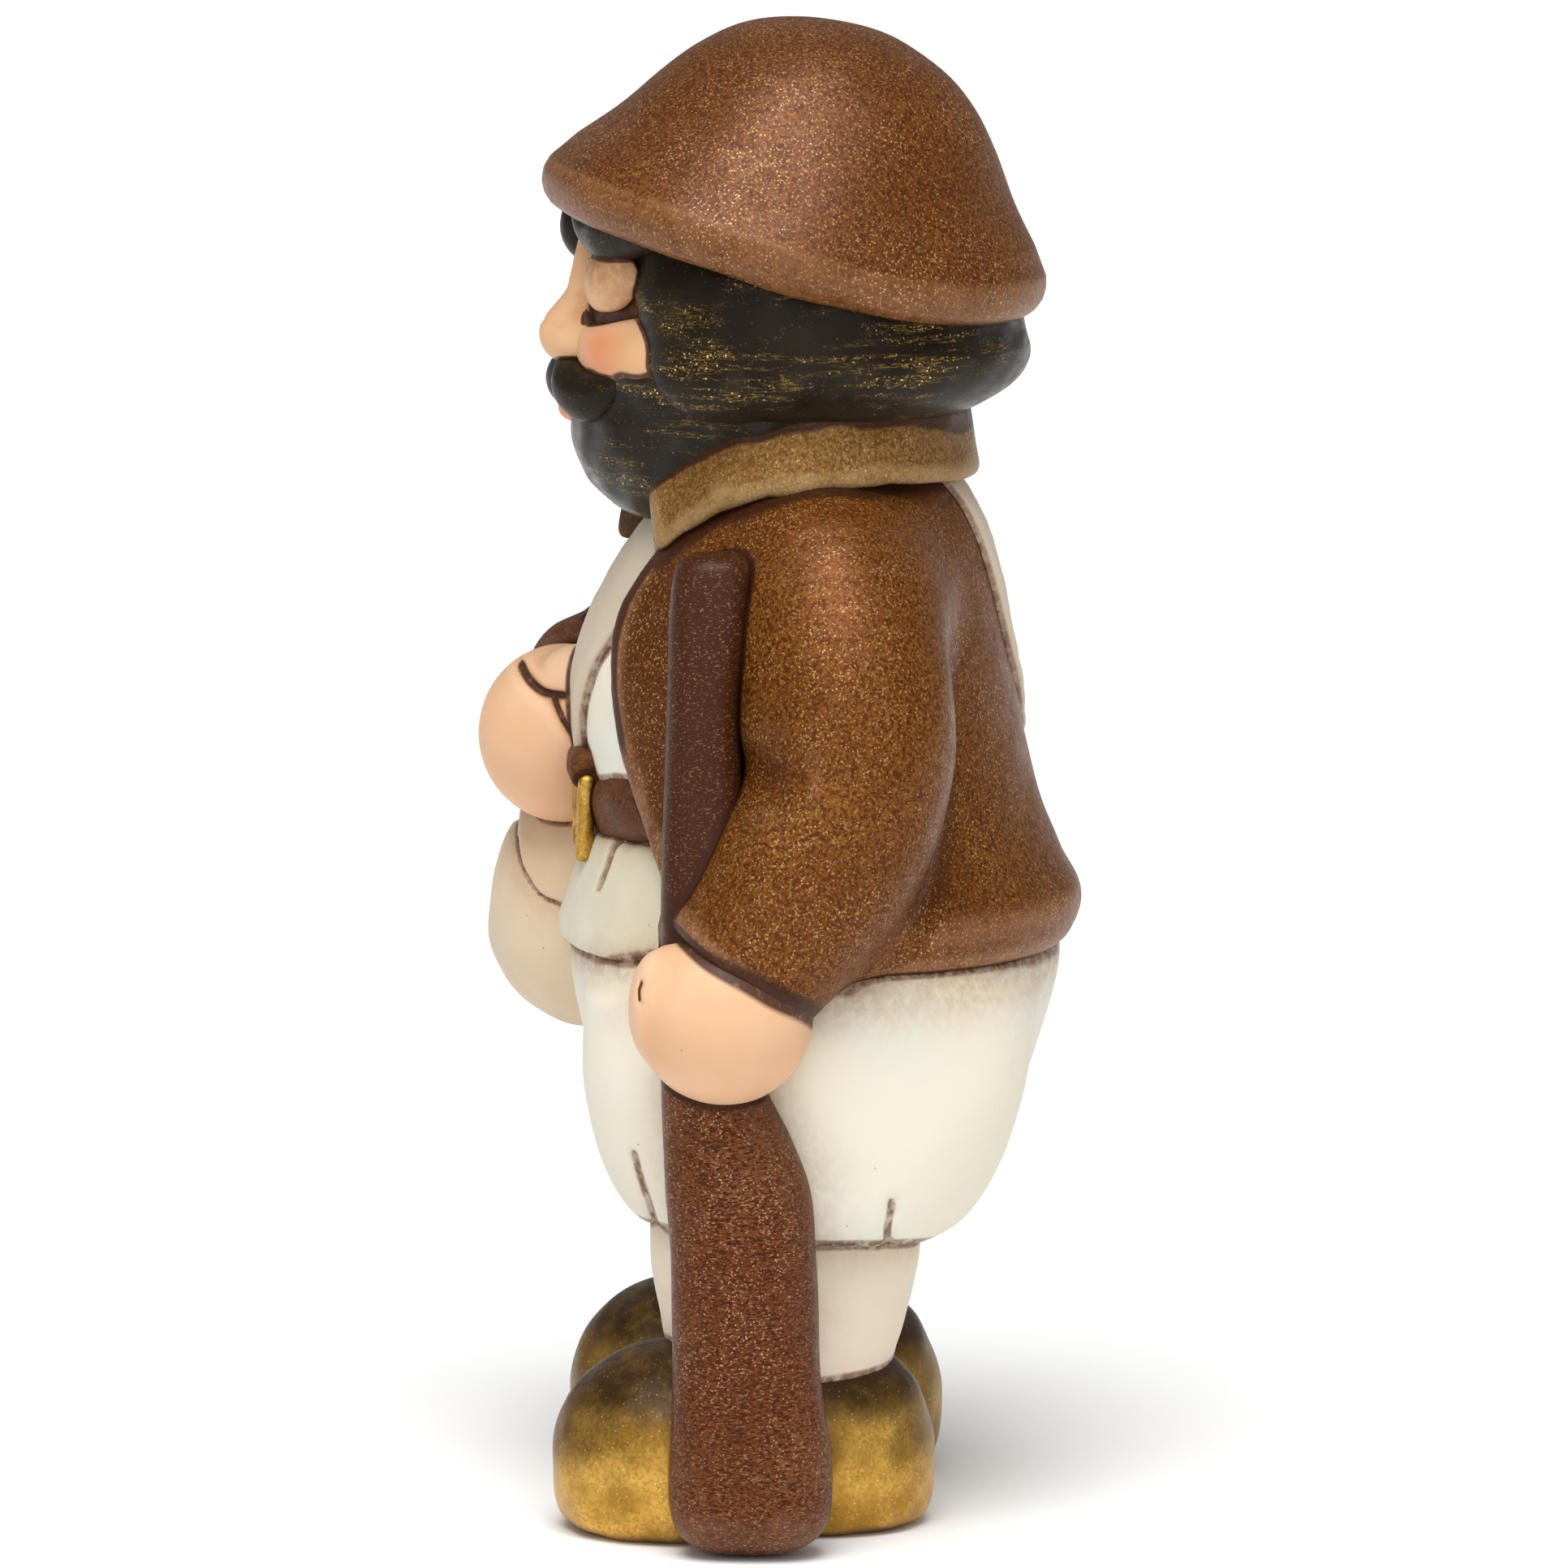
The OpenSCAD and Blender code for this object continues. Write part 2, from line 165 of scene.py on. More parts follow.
class Loft:
    """An upright body through rows of (height, middle in y, half width, half depth)."""

    def __init__(self, rows, x=0.0, rounding=2.0):
        curve = spline(rows)
        order = np.argsort(curve[:, 0])
        self.z, self.cy, self.rx, self.ry = curve[order].T
        self.x = x
        self.rounding = rounding

    def side(self, p):
        z = np.clip(p[:, 2], self.z[0], self.z[-1])
        rx, ry = np.interp(z, self.z, self.rx), np.interp(z, self.z, self.ry)
        u, v = p[:, 0] - self.x, p[:, 1] - np.interp(z, self.z, self.cy)
        k0 = np.hypot(u / rx, v / ry)
        k1 = np.hypot(u / rx ** 2, v / ry ** 2)
        return k0 * (k0 - 1) / np.maximum(k1, 1e-6)

    def __call__(self, p):
        ends = np.maximum(self.z[0] - p[:, 2], p[:, 2] - self.z[-1])
        return both(self.side(p), ends, self.rounding)


def tube(p, rows):
    """A limb through rows of (x, y, z, radius)."""
    rows = spline(rows, 5)
    best = np.full(len(p), FAR)
    for a, b in zip(rows[:-1], rows[1:]):
        line = b[:3] - a[:3]
        t = np.clip((p - a[:3]) @ line / (line @ line), 0, 1)
        best = np.minimum(best, length(p - a[:3] - t[:, None] * line) - (a[3] + (b[3] - a[3]) * t))
    return best


def line_distance(p, points, axes=(1, 2)):
    """Distance to a drawn line, seen along the axis that is left out."""
    q = p[:, list(axes)]
    points = spline(points, 5)
    best = np.full(len(p), FAR)
    for a, b in zip(points[:-1], points[1:]):
        line = b - a
        t = np.clip((q - a) @ line / max(line @ line, 1e-9), 0, 1)
        best = np.minimum(best, length(q - a - t[:, None] * line))
    return best


def polygon_distance(q, points):
    """Signed distance to a closed outline in two dimensions."""
    best = np.full(len(q), FAR)
    inside = np.zeros(len(q), bool)
    for a, b in zip(points, np.roll(points, -1, 0)):
        line = b - a
        t = np.clip((q - a) @ line / max(line @ line, 1e-9), 0, 1)
        best = np.minimum(best, length(q - a - t[:, None] * line))
        if a[1] != b[1]:
            crosses = (a[1] > q[:, 1]) != (b[1] > q[:, 1])
            inside ^= crosses & (q[:, 0] < line[0] * (q[:, 1] - a[1]) / line[1] + a[0])
    return np.where(inside, -best, best)


def hand_made(p, size, period, seed):
    """The slight unevenness of a piece that was modelled by hand."""
    k = 2 * math.pi / period
    x, y, z = (p * k).T
    return size * (np.sin(x + 1.3 * y + seed) * np.cos(0.8 * z - 0.6 * y + 2 * seed)
                   + 0.5 * np.sin(1.9 * z + 1.1 * x + 3 * seed) * np.cos(1.7 * y + seed))


# ---------------------------------------------------------------- meshing

# Cells along a block, half its diagonal in its sides, and how many points are worked out at a time
BLOCK, HALF_DIAGONAL, CHUNK = 4, 0.87, 400000
# How much faster than a distance a field may change, and a spare distance on top
STEEPNESS, SPARE = 1.7, 0.6
# How often points are drawn to the surface, how many cells at most each time, and the least squared slope
DRAWS, DRAW_REACH, LEAST_SLOPE = 4, 0.6, 0.05
CELL_CORNERS = [(x, y, z) for x in (0, 1) for y in (0, 1) for z in (0, 1)]


def at_corner(grid, corner):
    """What a grid of points holds at one corner of each of its cells."""
    return grid[tuple(slice(c, n - 1 + c) for c, n in zip(corner, grid.shape))]


def sample(field, low, shape, cell):
    """Values of a field on a grid, worked out only near its surface."""
    blocks = [-(-(n - 1) // BLOCK) for n in shape]
    centres = [low[a] + cell * BLOCK * (np.arange(blocks[a]) + 0.5) for a in range(3)]
    coarse_points = np.stack(np.meshgrid(*centres, indexing="ij"), -1).reshape(-1, 3)
    coarse = field(coarse_points).reshape(blocks)
    reach = cell * BLOCK * HALF_DIAGONAL * STEEPNESS + SPARE
    fine = np.repeat(np.repeat(np.repeat(coarse, BLOCK, 0), BLOCK, 1), BLOCK, 2)
    wanted = np.abs(fine) < reach
    full = [n * BLOCK + 1 for n in blocks]
    values = np.full(full, FAR)
    values[:-1, :-1, :-1] = np.where(fine < 0, -FAR, FAR)
    active = np.zeros(full, bool)
    for corner in CELL_CORNERS:
        part = at_corner(active, corner)
        part |= wanted
    index = np.argwhere(active)
    result = np.empty(len(index))
    for start in range(0, len(index), CHUNK):
        chunk = slice(start, start + CHUNK)
        result[chunk] = field(low + index[chunk] * cell)
    values[active] = result
    return values


def gradient(field, p, step=0.04):
    base = field(p)
    slope = np.empty_like(p)
    for a in range(3):
        moved = p.copy()
        moved[:, a] += step
        slope[:, a] = (field(moved) - base) / step
    return base, slope


def surface(field, low, high, cell):
    """Points and quads of a field's surface, by dual contouring on a grid."""
    shape = [int(math.ceil((high[a] - low[a]) / cell)) + 2 for a in range(3)]
    low = np.asarray(low, float) - cell
    v = sample(field, low, shape, cell)
    for axis in range(3):
        for end in (0, -1):
            border = [slice(None)] * 3
            border[axis] = end
            v[tuple(border)] = np.abs(v[tuple(border)]) + cell
    inside = v < 0
    count = sum(at_corner(inside, corner).astype(np.int8) for corner in CELL_CORNERS)
    mixed = (count > 0) & (count < len(CELL_CORNERS))
    cells = np.argwhere(mixed)
    number = np.full(mixed.shape, -1)
    number[mixed] = np.arange(len(cells))
    total, hits = np.zeros((len(cells), 3)), np.zeros(len(cells))
    for axis in range(3):
        others = [a for a in range(3) if a != axis]
        for s in (0, 1):
            for t in (0, 1):
                start = np.zeros(3, int)
                start[others[0]], start[others[1]] = s, t
                end = start.copy()
                end[axis] = 1
                va, vb = v[tuple((cells + start).T)], v[tuple((cells + end).T)]
                crossed = (va < 0) != (vb < 0)
                share = np.where(crossed, va / np.where(crossed, va - vb, 1), 0)
                total += (start + share[:, None] * (end - start)) * crossed[:, None]
                hits += crossed
    points = low + cell * (cells + total / hits[:, None])
    quads = []
    for axis in range(3):
        a, b = [(1, 2), (2, 0), (0, 1)][axis]
        first, second = [slice(None)] * 3, [slice(None)] * 3
        first[axis], second[axis] = slice(None, -1), slice(1, None)
        changes = np.argwhere(inside[tuple(first)] != inside[tuple(second)])
        changes = changes[(changes[:, a] > 0) & (changes[:, b] > 0)]
        da, db = np.zeros(3, int), np.zeros(3, int)
        da[a], db[b] = 1, 1
        around = (0 * da, da, da + db, db)
        quad = np.stack([number[tuple((changes - shift).T)] for shift in around], 1)
        outward = inside[tuple(changes.T)]
        quad[~outward] = quad[~outward][:, ::-1]
        quads.append(quad)
    quads = np.concatenate(quads)
    for _ in range(DRAWS):
        value, slope = gradient(field, points)
        step = value[:, None] * slope / np.maximum((slope ** 2).sum(1), LEAST_SLOPE)[:, None]
        size = np.maximum(length(step), 1e-9)
        points = points - step * np.minimum(1, DRAW_REACH * cell / size)[:, None]
    return points, quads


# ---------------------------------------------------------------- pieces

# Grid cell of a plain and of a finely modelled piece, in figure millimetres
PLAIN, FINE = ((0.6, 0.34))
# The lowest height that is meshed
UNDER_GROUND = -1.0
# How much a surface bends where its edge paint begins and is full, and where its painted shade in hollows is
# full
EDGE_FROM, EDGE_FULL, HOLLOW_SHADE_FULL = 0.1, 0.36, 0.25


def curvature(field, p, reach=1.6):
    """How strongly the surface bulges (positive) or dips inward (negative)."""
    total = -6 * field(p)
    for a in range(3):
        for sign in (-1, 1):
            moved = p.copy()
            moved[:, a] += sign * reach
            total += field(moved)
    return total / reach ** 2


def no_paint(p):
    return np.zeros(len(p))


def piece(name, material, field, cell=PLAIN, margin=3.0, wash=(), lines=no_paint,
          airbrush_and_shade=no_paint, shade=no_paint, shape=None):
    """Meshes a field inside the box of the CAD node that it replaces, which has the same name.

    Its paint is written on its points: wash; dust, painted sheen and painted highlight on bulging edges;
    airbrushed colour and painted shade; painted shade in hollows. The edges and hollows are those of the
    shape, which is the field unless the piece blends into its neighbours.
    """
    low, high = ((corner - MIDDLE) / SCALE for corner in corners(name))
    low, high = low - margin, high + margin
    low[2] = max(low[2], UNDER_GROUND)
    points, quads = surface(field, low, high, cell)
    mesh = bpy.data.meshes.new(name)
    mesh.vertices.add(len(points))
    mesh.vertices.foreach_set("co", ((points * SCALE + MIDDLE) * MM).astype(np.float32).ravel())
    mesh.loops.add(quads.size)
    mesh.loops.foreach_set("vertex_index", quads.astype(np.int32).ravel())
    mesh.polygons.add(len(quads))
    mesh.polygons.foreach_set("loop_start", np.arange(0, quads.size, 4, dtype=np.int32))
    mesh.update(calc_edges=True)
    mesh.validate()
    mesh.shade_smooth()
    bend = curvature(shape or field, points)
    amount = lines(points)
    for neighbour, reach in wash:
        amount = np.maximum(amount, beside(neighbour(points), reach))
    # painted shade: darkening in the surface's hollows, together with the piece's own shade
    hollow_shade = np.maximum(smooth_step(-bend, 0.0, HOLLOW_SHADE_FULL), shade(points))
    # the third channel holds airbrushed colour, such as blush, and painted shade under and beside
    # neighbouring parts
    paint = [amount, smooth_step(bend, EDGE_FROM, EDGE_FULL), airbrush_and_shade(points), hollow_shade]
    layer = mesh.color_attributes.new("paint", "FLOAT_COLOR", "POINT")
    layer.data.foreach_set("color", np.clip(np.stack(paint, 1), 0, 1).astype(np.float32).ravel())
    obj = bpy.data.objects.new(name, mesh)
    bpy.context.scene.collection.objects.link(obj)
    mesh.materials.append(material)
    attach(obj, "root")
    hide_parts(name)


# ---------------------------------------------------------------- materials

class Paint:
    """A material's nodes, written in the order that a painter lays the coats."""

    def __init__(self, name, roughness=0.45, specular=0.5):
        self.material = bpy.data.materials.new(name)
        self.material.use_nodes = True
        self.tree = self.material.node_tree
        self.shader = self.tree.nodes["Principled BSDF"]
        self.shader.inputs["Roughness"].default_value = roughness
        self.shader.inputs["Specular IOR Level"].default_value = specular
        self.place = self.add("TexCoord").outputs["Object"]
        attribute = self.add("Attribute", attribute_name="paint")
        channels = self.add("SeparateColor", {0: attribute.outputs["Color"]})
        # Channels: wash; edge, which carries dust, painted sheen and painted highlight; airbrushed colour and
        # painted shade; in alpha, painted shade in hollows
        self.wash, self.edge, self.air_and_shade = channels.outputs[:3]
        self.hollow_shade = attribute.outputs["Alpha"]
        self.colour = None

    def set(self, socket, value):
        if isinstance(value, bpy.types.NodeSocket):
            self.tree.links.new(value, socket)
        elif isinstance(value, tuple) and socket.type == "RGBA":
            socket.default_value = (*value, 1.0)
        else:
            socket.default_value = value

    def add(self, kind, inputs=None, **settings):
        """A new node; its inputs are values or other nodes' outputs."""
        node = self.tree.nodes.new("ShaderNode" + kind)
        for name, value in settings.items():
            setattr(node, name, value)
        for name, value in (inputs or {}).items():
            self.set(node.inputs[name], value)
        return node

    def texture(self, kind, periods, **inputs):
        """A texture whose features have those periods in millimetres along x, y and z."""
        scale = [1 / (period * MM) for period in periods]
        place = self.add("Mapping", {"Vector": self.place, "Scale": scale}).outputs[0]
        return self.add("Tex" + kind, {"Vector": place, "Scale": 1.0, **inputs})

    def noise(self, period, detail=3.0, stretch=(1, 1, 1), roughness=0.5):
        periods = [period * s for s in stretch]
        return self.texture("Noise", periods, Detail=detail, Roughness=roughness).outputs["Fac"]

    def ramp(self, value, low, high, to_low=0.0, to_high=1.0):
        """Takes low and high smoothly to two other values."""
        ends = {"From Min": low, "From Max": high, "To Min": to_low, "To Max": to_high}
        node = self.add("MapRange", {"Value": value, **ends}, interpolation_type="SMOOTHSTEP")
        return node.outputs["Result"]

    def math(self, kind, a, b):
        return self.add("Math", {0: a, 1: b}, operation=kind).outputs[0]

    def times(self, a, b):
        return self.math("MULTIPLY", a, b)

    def specks(self, size, share, radius, softness):
        """Round specks of that spacing in millimetres, on that share of the places; radius is in spacings."""
        spots = self.texture("Voronoi", [size] * 3)
        chance = self.add("SeparateColor", {0: spots.outputs["Color"]}).outputs[0]
        chosen = self.ramp(chance, 1 - share, 1 - share + 0.02)
        return self.times(chosen, self.ramp(spots.outputs["Distance"], radius, radius + softness, 1.0, 0.0))

    def between(self, a, b, factor):
        # A colour mix has its factor, two colours and result at these places
        return self.add("Mix", {0: factor, 6: a, 7: b}, data_type="RGBA").outputs[2]

    def coat(self, colour, amount=1.0):
        """Lays a colour over what is there."""
        self.colour = colour if self.colour is None else self.between(self.colour, colour, amount)

    def done(self, bumps=(), roughness=None, metallic=None):
        """Finishes the shader; bumps are values with their height in millimetres."""
        normal = None
        for value, height in bumps:
            under = {} if normal is None else {"Normal": normal}
            bump = {"Strength": 1.0, "Distance": height * MM, "Height": value, **under}
            normal = self.add("Bump", bump).outputs["Normal"]
        last = {"Base Color": self.colour, "Normal": normal, "Roughness": roughness, "Metallic": metallic}
        for name, value in last.items():
            if value is not None:
                self.set(self.shader.inputs[name], value)
        return self.material


WASH_RED, WASH_BROWN, WASH_DARK = (0.040, 0.012, 0.005), (0.20, 0.092, 0.042), (0.07, 0.028, 0.014)
PALE_SHADE, PALE_GOLD = (0.44, 0.27, 0.14), (0.80, 0.66, 0.42)
BLUSH, FRECKLE, FACE_LINE = (0.72, 0.205, 0.085), (0.30, 0.14, 0.07), (0.048, 0.013, 0.005)
# EDGE_SHEEN_BLACK is painted sheen for the hair's edges
BLACK, SOFT_BLACK, EDGE_SHEEN_BLACK = (0.0095, 0.0050, 0.0018), (0.0155, 0.0105, 0.0050), (0.040, 0.031, 0.020)
BRUSHED_GOLD, GOLD_DUST, GOLD_FLAKE = (0.22, 0.130, 0.026), (0.55, 0.35, 0.085), (0.86, 0.60, 0.20)
DEEP_GOLD, LIGHT_GOLD, WORN_GOLD = (0.41, 0.215, 0.034), (0.70, 0.410, 0.085), (0.25, 0.14, 0.028)
# SMOKE_AND_SHADE darkens the gold: partly smoky paint, partly painted shade
SMOKE_AND_SHADE, BRIGHT_GOLD, GOLD_LINE = (0.044, 0.019, 0.003), (0.85, 0.62, 0.24), (0.05, 0.018, 0.007)
DEEP_LIP, LIGHT_LIP, LIP_LINE = (0.58, 0.16, 0.07), (0.70, 0.25, 0.13), (0.05, 0.02, 0.012)
BROWN_FLAKE = (0.66, 0.41, 0.16)


def speckled(name, deep, body, light, dust, flake=BROWN_FLAKE, flakes=0.36, shade=None, streaks=(1, 1, 1),
             specular=0.19, metal=0.32):
    """Metallic flaked paint over a warmer ground, with dust and painted sheen on its bulging edges and
    painted shade in its hollows.
    """
    paint = Paint(name, specular=specular)
    cloud = paint.noise(16.0)
    paint.coat(paint.between(body, light, paint.ramp(cloud, 0.4, 0.72)))
    # painted shade: the deep colour laid in hollows
    paint.coat(deep, paint.times(paint.hollow_shade, 0.8))
    grain = paint.noise(0.47, stretch=streaks, roughness=0.7)
    paint.coat(deep, paint.ramp(grain, 0.57, 0.42))
    blotch = paint.noise(2.4, 4.0, streaks, 0.65)
    # the dust colour on bulging edges is partly real dust and partly painted sheen
    paint.coat(dust, paint.times(paint.edge, paint.ramp(blotch, 0.3, 0.6, 0.25, 0.7)))
    if shade is not None:
        paint.coat(shade, paint.air_and_shade)
    drift = paint.ramp(paint.noise(7.0), 0.35, 0.68, 0.45, 1.0)
    bright = paint.times(paint.specks(0.38, flakes, 0.13, 0.2), drift)
    fine = paint.times(paint.ramp(paint.noise(0.31, 2.0, streaks, 0.6), 0.56, 0.70), drift)
    clean = paint.ramp(paint.air_and_shade, 0.2, 0.9, 1.0, 0.45)
    paint.coat(flake, paint.times(fine, paint.times(clean, 0.62)))
    paint.coat(flake, paint.times(bright, paint.times(clean, 0.95)))
    line = paint.times(paint.ramp(paint.wash, 0.3, 0.75), paint.ramp(blotch, 0.2, 0.5, 0.7, 1.0))
    paint.coat(WASH_RED, paint.times(line, 0.92))
    rough = paint.math("SUBTRACT", paint.ramp(blotch, 0.3, 0.7, 0.38, 0.50), paint.times(bright, 0.12))
    metallic = paint.times(paint.ramp(paint.edge, 0.0, 1.0, metal, 0.1), clean)
    return paint.done([(grain, 0.025), (blotch, 0.04)], rough, metallic)


def pale(name, body, cool, warm):
    """Chalky pale paint with a brown wash in its lines and airbrushed shade."""
    paint = Paint(name, specular=0.4)
    cloud = paint.noise(16.0)
    patch = paint.noise(8.0, 4.0, roughness=0.6)
    paint.coat(paint.between(body, cool, paint.ramp(cloud, 0.42, 0.68)))
    paint.coat(warm, paint.ramp(patch, 0.5, 0.78, 0.0, 0.6))
    streak = paint.noise(1.3, 5.0, roughness=0.72)
    broken = paint.ramp(streak, 0.34, 0.6, 0.5, 1.0)
    paint.coat(PALE_SHADE, paint.times(paint.times(paint.air_and_shade, broken), 0.72))
    paint.coat(warm, paint.times(paint.hollow_shade, 0.5))
    gold = paint.times(paint.specks(0.6, 0.25, 0.14, 0.15), paint.air_and_shade)
    paint.coat(PALE_GOLD, paint.times(gold, 0.7))
    paint.coat(WASH_BROWN, paint.times(paint.specks(1.7, 0.12, 0.045, 0.05), 0.65))
    line = paint.times(paint.ramp(paint.wash, 0.32, 0.72), broken)
    paint.coat(WASH_BROWN, paint.times(line, 0.92))
    core = paint.times(paint.ramp(paint.wash, 0.8, 1.0), paint.ramp(streak, 0.45, 0.6))
    paint.coat(WASH_DARK, paint.times(core, 0.75))
    bumps = [(paint.noise(0.6), 0.02), (streak, 0.03)]
    return paint.done(bumps, paint.ramp(streak, 0.3, 0.7, 0.46, 0.6))


def make_skin(name, body, light, edge_highlight, shadow, depth):
    """Matt skin paint, lighter on its bulging edges as a painted highlight; depth is how strongly the hollows
    are shaded.
    """
    paint = Paint(name, specular=0.24)
    cloud = paint.noise(9.0)
    paint.coat(paint.between(body, light, paint.ramp(cloud, 0.35, 0.7)))
    # painted highlight on bulging edges
    paint.coat(edge_highlight, paint.times(paint.edge, 0.4))
    streak = paint.noise(1.3, 4.0, roughness=0.65)
    paint.coat(shadow, paint.times(paint.hollow_shade, paint.ramp(streak, 0.3, 0.6, 0.6 * depth, depth)))
    paint.coat(BLUSH, paint.times(paint.air_and_shade, 0.72))
    paint.coat(FRECKLE, paint.times(paint.specks(1.8, 0.08, 0.04, 0.05), 0.6))
    line = paint.times(paint.ramp(paint.wash, 0.3, 0.7), paint.ramp(streak, 0.25, 0.5, 0.75, 1.0))
    paint.coat(FACE_LINE, paint.times(line, 0.95))
    paint.shader.inputs["Subsurface Weight"].default_value = 0.06
    paint.shader.inputs["Subsurface Radius"].default_value = (0.002, 0.001, 0.0006)
    bumps = [(paint.noise(0.7), 0.015), (streak, 0.02)]
    return paint.done(bumps, paint.ramp(streak, 0.3, 0.7, 0.38, 0.5))


def make_hair(name, gilded, specular):
    """Near-black paint, lighter on its bulging edges as painted sheen, with dry-brushed gold in level
    strokes; gilded is how much of it is brushed.
    """
    paint = Paint(name, specular=specular)
    cloud = paint.noise(12.0)
    paint.coat(paint.between(BLACK, SOFT_BLACK, paint.ramp(cloud, 0.35, 0.7)))
    # painted sheen on bulging edges
    paint.coat(EDGE_SHEEN_BLACK, paint.times(paint.edge, 0.15 + 0.2 * gilded))
    zones = paint.noise(9.0, stretch=(1.5, 1.5, 0.6))
    zones = paint.ramp(zones, 0.62 - 0.22 * gilded, 0.78 - 0.18 * gilded)
    strokes = paint.noise(0.36, stretch=(2.6, 3.2, 0.5), roughness=0.75)
    rows = paint.ramp(paint.noise(1.3, 2.0, (6.0, 8.0, 0.6)), 0.45, 0.60)
    brushed = paint.times(zones, rows)
    gold = paint.times(paint.ramp(strokes, 0.50, 0.60), brushed)
    paint.coat(BRUSHED_GOLD, paint.times(gold, 0.75))
    dust = paint.times(paint.specks(0.30, 0.42, 0.16, 0.16), brushed)
    flakes = paint.times(paint.specks(0.46, 0.28, 0.15, 0.16), paint.math("MAXIMUM", brushed, 0.06))
    paint.coat(GOLD_DUST, paint.times(dust, 0.85))
    paint.coat(GOLD_FLAKE, flakes)
    uneven = paint.noise(1.3, stretch=(2.0, 2.5, 0.8))
    rough = paint.math("SUBTRACT", paint.ramp(uneven, 0.3, 0.7, 0.28, 0.40), paint.times(flakes, 0.1))
    return paint.done([(uneven, 0.045), (strokes, 0.02)], rough, paint.times(flakes, 0.6))


def make_gold():
    """Gold paint that an airbrushed coat darkens to a smoky brown, partly real paint and partly painted
    shade.
    """
    paint = Paint("gold", specular=0.2)
    cloud = paint.noise(5.0, 4.0)
    paint.coat(paint.between(DEEP_GOLD, LIGHT_GOLD, paint.ramp(cloud, 0.35, 0.7)))
    grain = paint.noise(0.5, roughness=0.7)
    paint.coat(WORN_GOLD, paint.ramp(grain, 0.56, 0.38, 0.0, 0.55))
    drift = paint.noise(3.0, 4.0, roughness=0.6)
    # partly smoky paint and partly painted shade
    smoke_and_shade = paint.times(paint.ramp(paint.air_and_shade, 0.05, 0.9), paint.ramp(drift, 0.25, 0.6, 0.8, 1.0))
    paint.coat(SMOKE_AND_SHADE, smoke_and_shade)
    bright = paint.specks(0.45, 0.3, 0.13, 0.18)
    paint.coat(BRIGHT_GOLD, paint.times(bright, paint.ramp(smoke_and_shade, 0.2, 0.9, 0.6, 0.2)))
    paint.coat(GOLD_LINE, paint.times(paint.ramp(paint.wash, 0.3, 0.75), 0.9))
    return paint.done([(grain, 0.03), (cloud, 0.12), (drift, 0.05)], paint.ramp(grain, 0.3, 0.7, 0.32, 0.46),
                      paint.ramp(smoke_and_shade, 0.1, 0.9, 0.85, 0.3))


def make_lip():
    paint = Paint("lip")
    cloud = paint.noise(2.0, 2.0)
    paint.coat(paint.between(DEEP_LIP, LIGHT_LIP, paint.ramp(cloud, 0.35, 0.7)))
    paint.coat(LIP_LINE, paint.times(paint.ramp(paint.wash, 0.5, 0.9), 0.8))
    return paint.done([(paint.noise(0.6), 0.02)], paint.ramp(cloud, 0.3, 0.7, 0.35, 0.48))


SKIN = make_skin("skin", (0.71, 0.405, 0.222), (0.75, 0.455, 0.265), edge_highlight=(0.82, 0.58, 0.395),
                 shadow=(0.36, 0.155, 0.062), depth=0.5)
# The face: a darker, more ochre copy of the hands' skin, partly brown airbrushed paint and partly painted
# shade
FACE = make_skin("face", (0.60, 0.310, 0.135), (0.66, 0.365, 0.175), edge_highlight=(0.80, 0.54, 0.335),
                 shadow=(0.25, 0.095, 0.035), depth=0.85)
HAIR = make_hair("hair", gilded=0.88, specular=0.13)
# The lids: lighter than the face, a painted highlight on their bulge
LID = make_skin("lid", (0.70, 0.385, 0.165), (0.74, 0.435, 0.205), edge_highlight=(0.82, 0.57, 0.38),
                shadow=(0.27, 0.105, 0.038), depth=0.9)
BEARD = make_hair("beard", gilded=1.0, specular=0.18)
WHISKERS = make_hair("whiskers", gilded=0.2, specular=0.12)
GOLD = make_gold()
LIP = make_lip()
# The dust colour of these paints, on bulging edges, is partly dust and partly painted sheen
BROWN = speckled("jacket_brown", (0.080, 0.018, 0.001), (0.172, 0.052, 0.003), (0.215, 0.074, 0.008),
                 dust=(0.275, 0.128, 0.062))
CAP_BROWN = speckled("cap_brown", (0.068, 0.015, 0.0005), (0.155, 0.043, 0.002), (0.195, 0.062, 0.004),
                     dust=(0.235, 0.098, 0.034), specular=0.30, metal=0.26)
COLLAR = speckled("collar_tan", (0.135, 0.058, 0.010), (0.240, 0.116, 0.026), (0.275, 0.142, 0.038),
                  dust=(0.33, 0.205, 0.085), flake=(0.60, 0.43, 0.18), flakes=0.22)
STAFF = speckled("staff_brown", (0.050, 0.010, 0.0020), (0.136, 0.036, 0.008), (0.168, 0.053, 0.015),
                 dust=(0.18, 0.084, 0.048), flake=(0.56, 0.34, 0.17), shade=(0.048, 0.0125, 0.0032),
                 streaks=(1.1, 1.5, 0.6), specular=0.17)
BELT = speckled("belt_brown", (0.036, 0.009, 0.002), (0.098, 0.026, 0.003), (0.126, 0.036, 0.005),
                dust=(0.13, 0.052, 0.024), flake=(0.30, 0.14, 0.045), flakes=0.12, specular=0.05, metal=0.08)
IVORY = pale("ivory", (0.77, 0.715, 0.580), cool=(0.735, 0.735, 0.635), warm=(0.77, 0.67, 0.50))
LINEN = pale("linen", (0.64, 0.58, 0.43), cool=(0.63, 0.605, 0.485), warm=(0.61, 0.51, 0.36))
BEIGE = pale("beige", (0.67, 0.525, 0.362), cool=(0.63, 0.535, 0.405), warm=(0.64, 0.465, 0.295))
FLAP = pale("flap", (0.64, 0.475, 0.315), cool=(0.63, 0.505, 0.355), warm=(0.60, 0.425, 0.265))
STRAP = pale("strap", (0.575, 0.470, 0.350), cool=(0.57, 0.485, 0.370), warm=(0.54, 0.42, 0.29))
STOCKING = pale("stocking", (0.77, 0.655, 0.505), cool=(0.75, 0.69, 0.565), warm=(0.74, 0.585, 0.42))

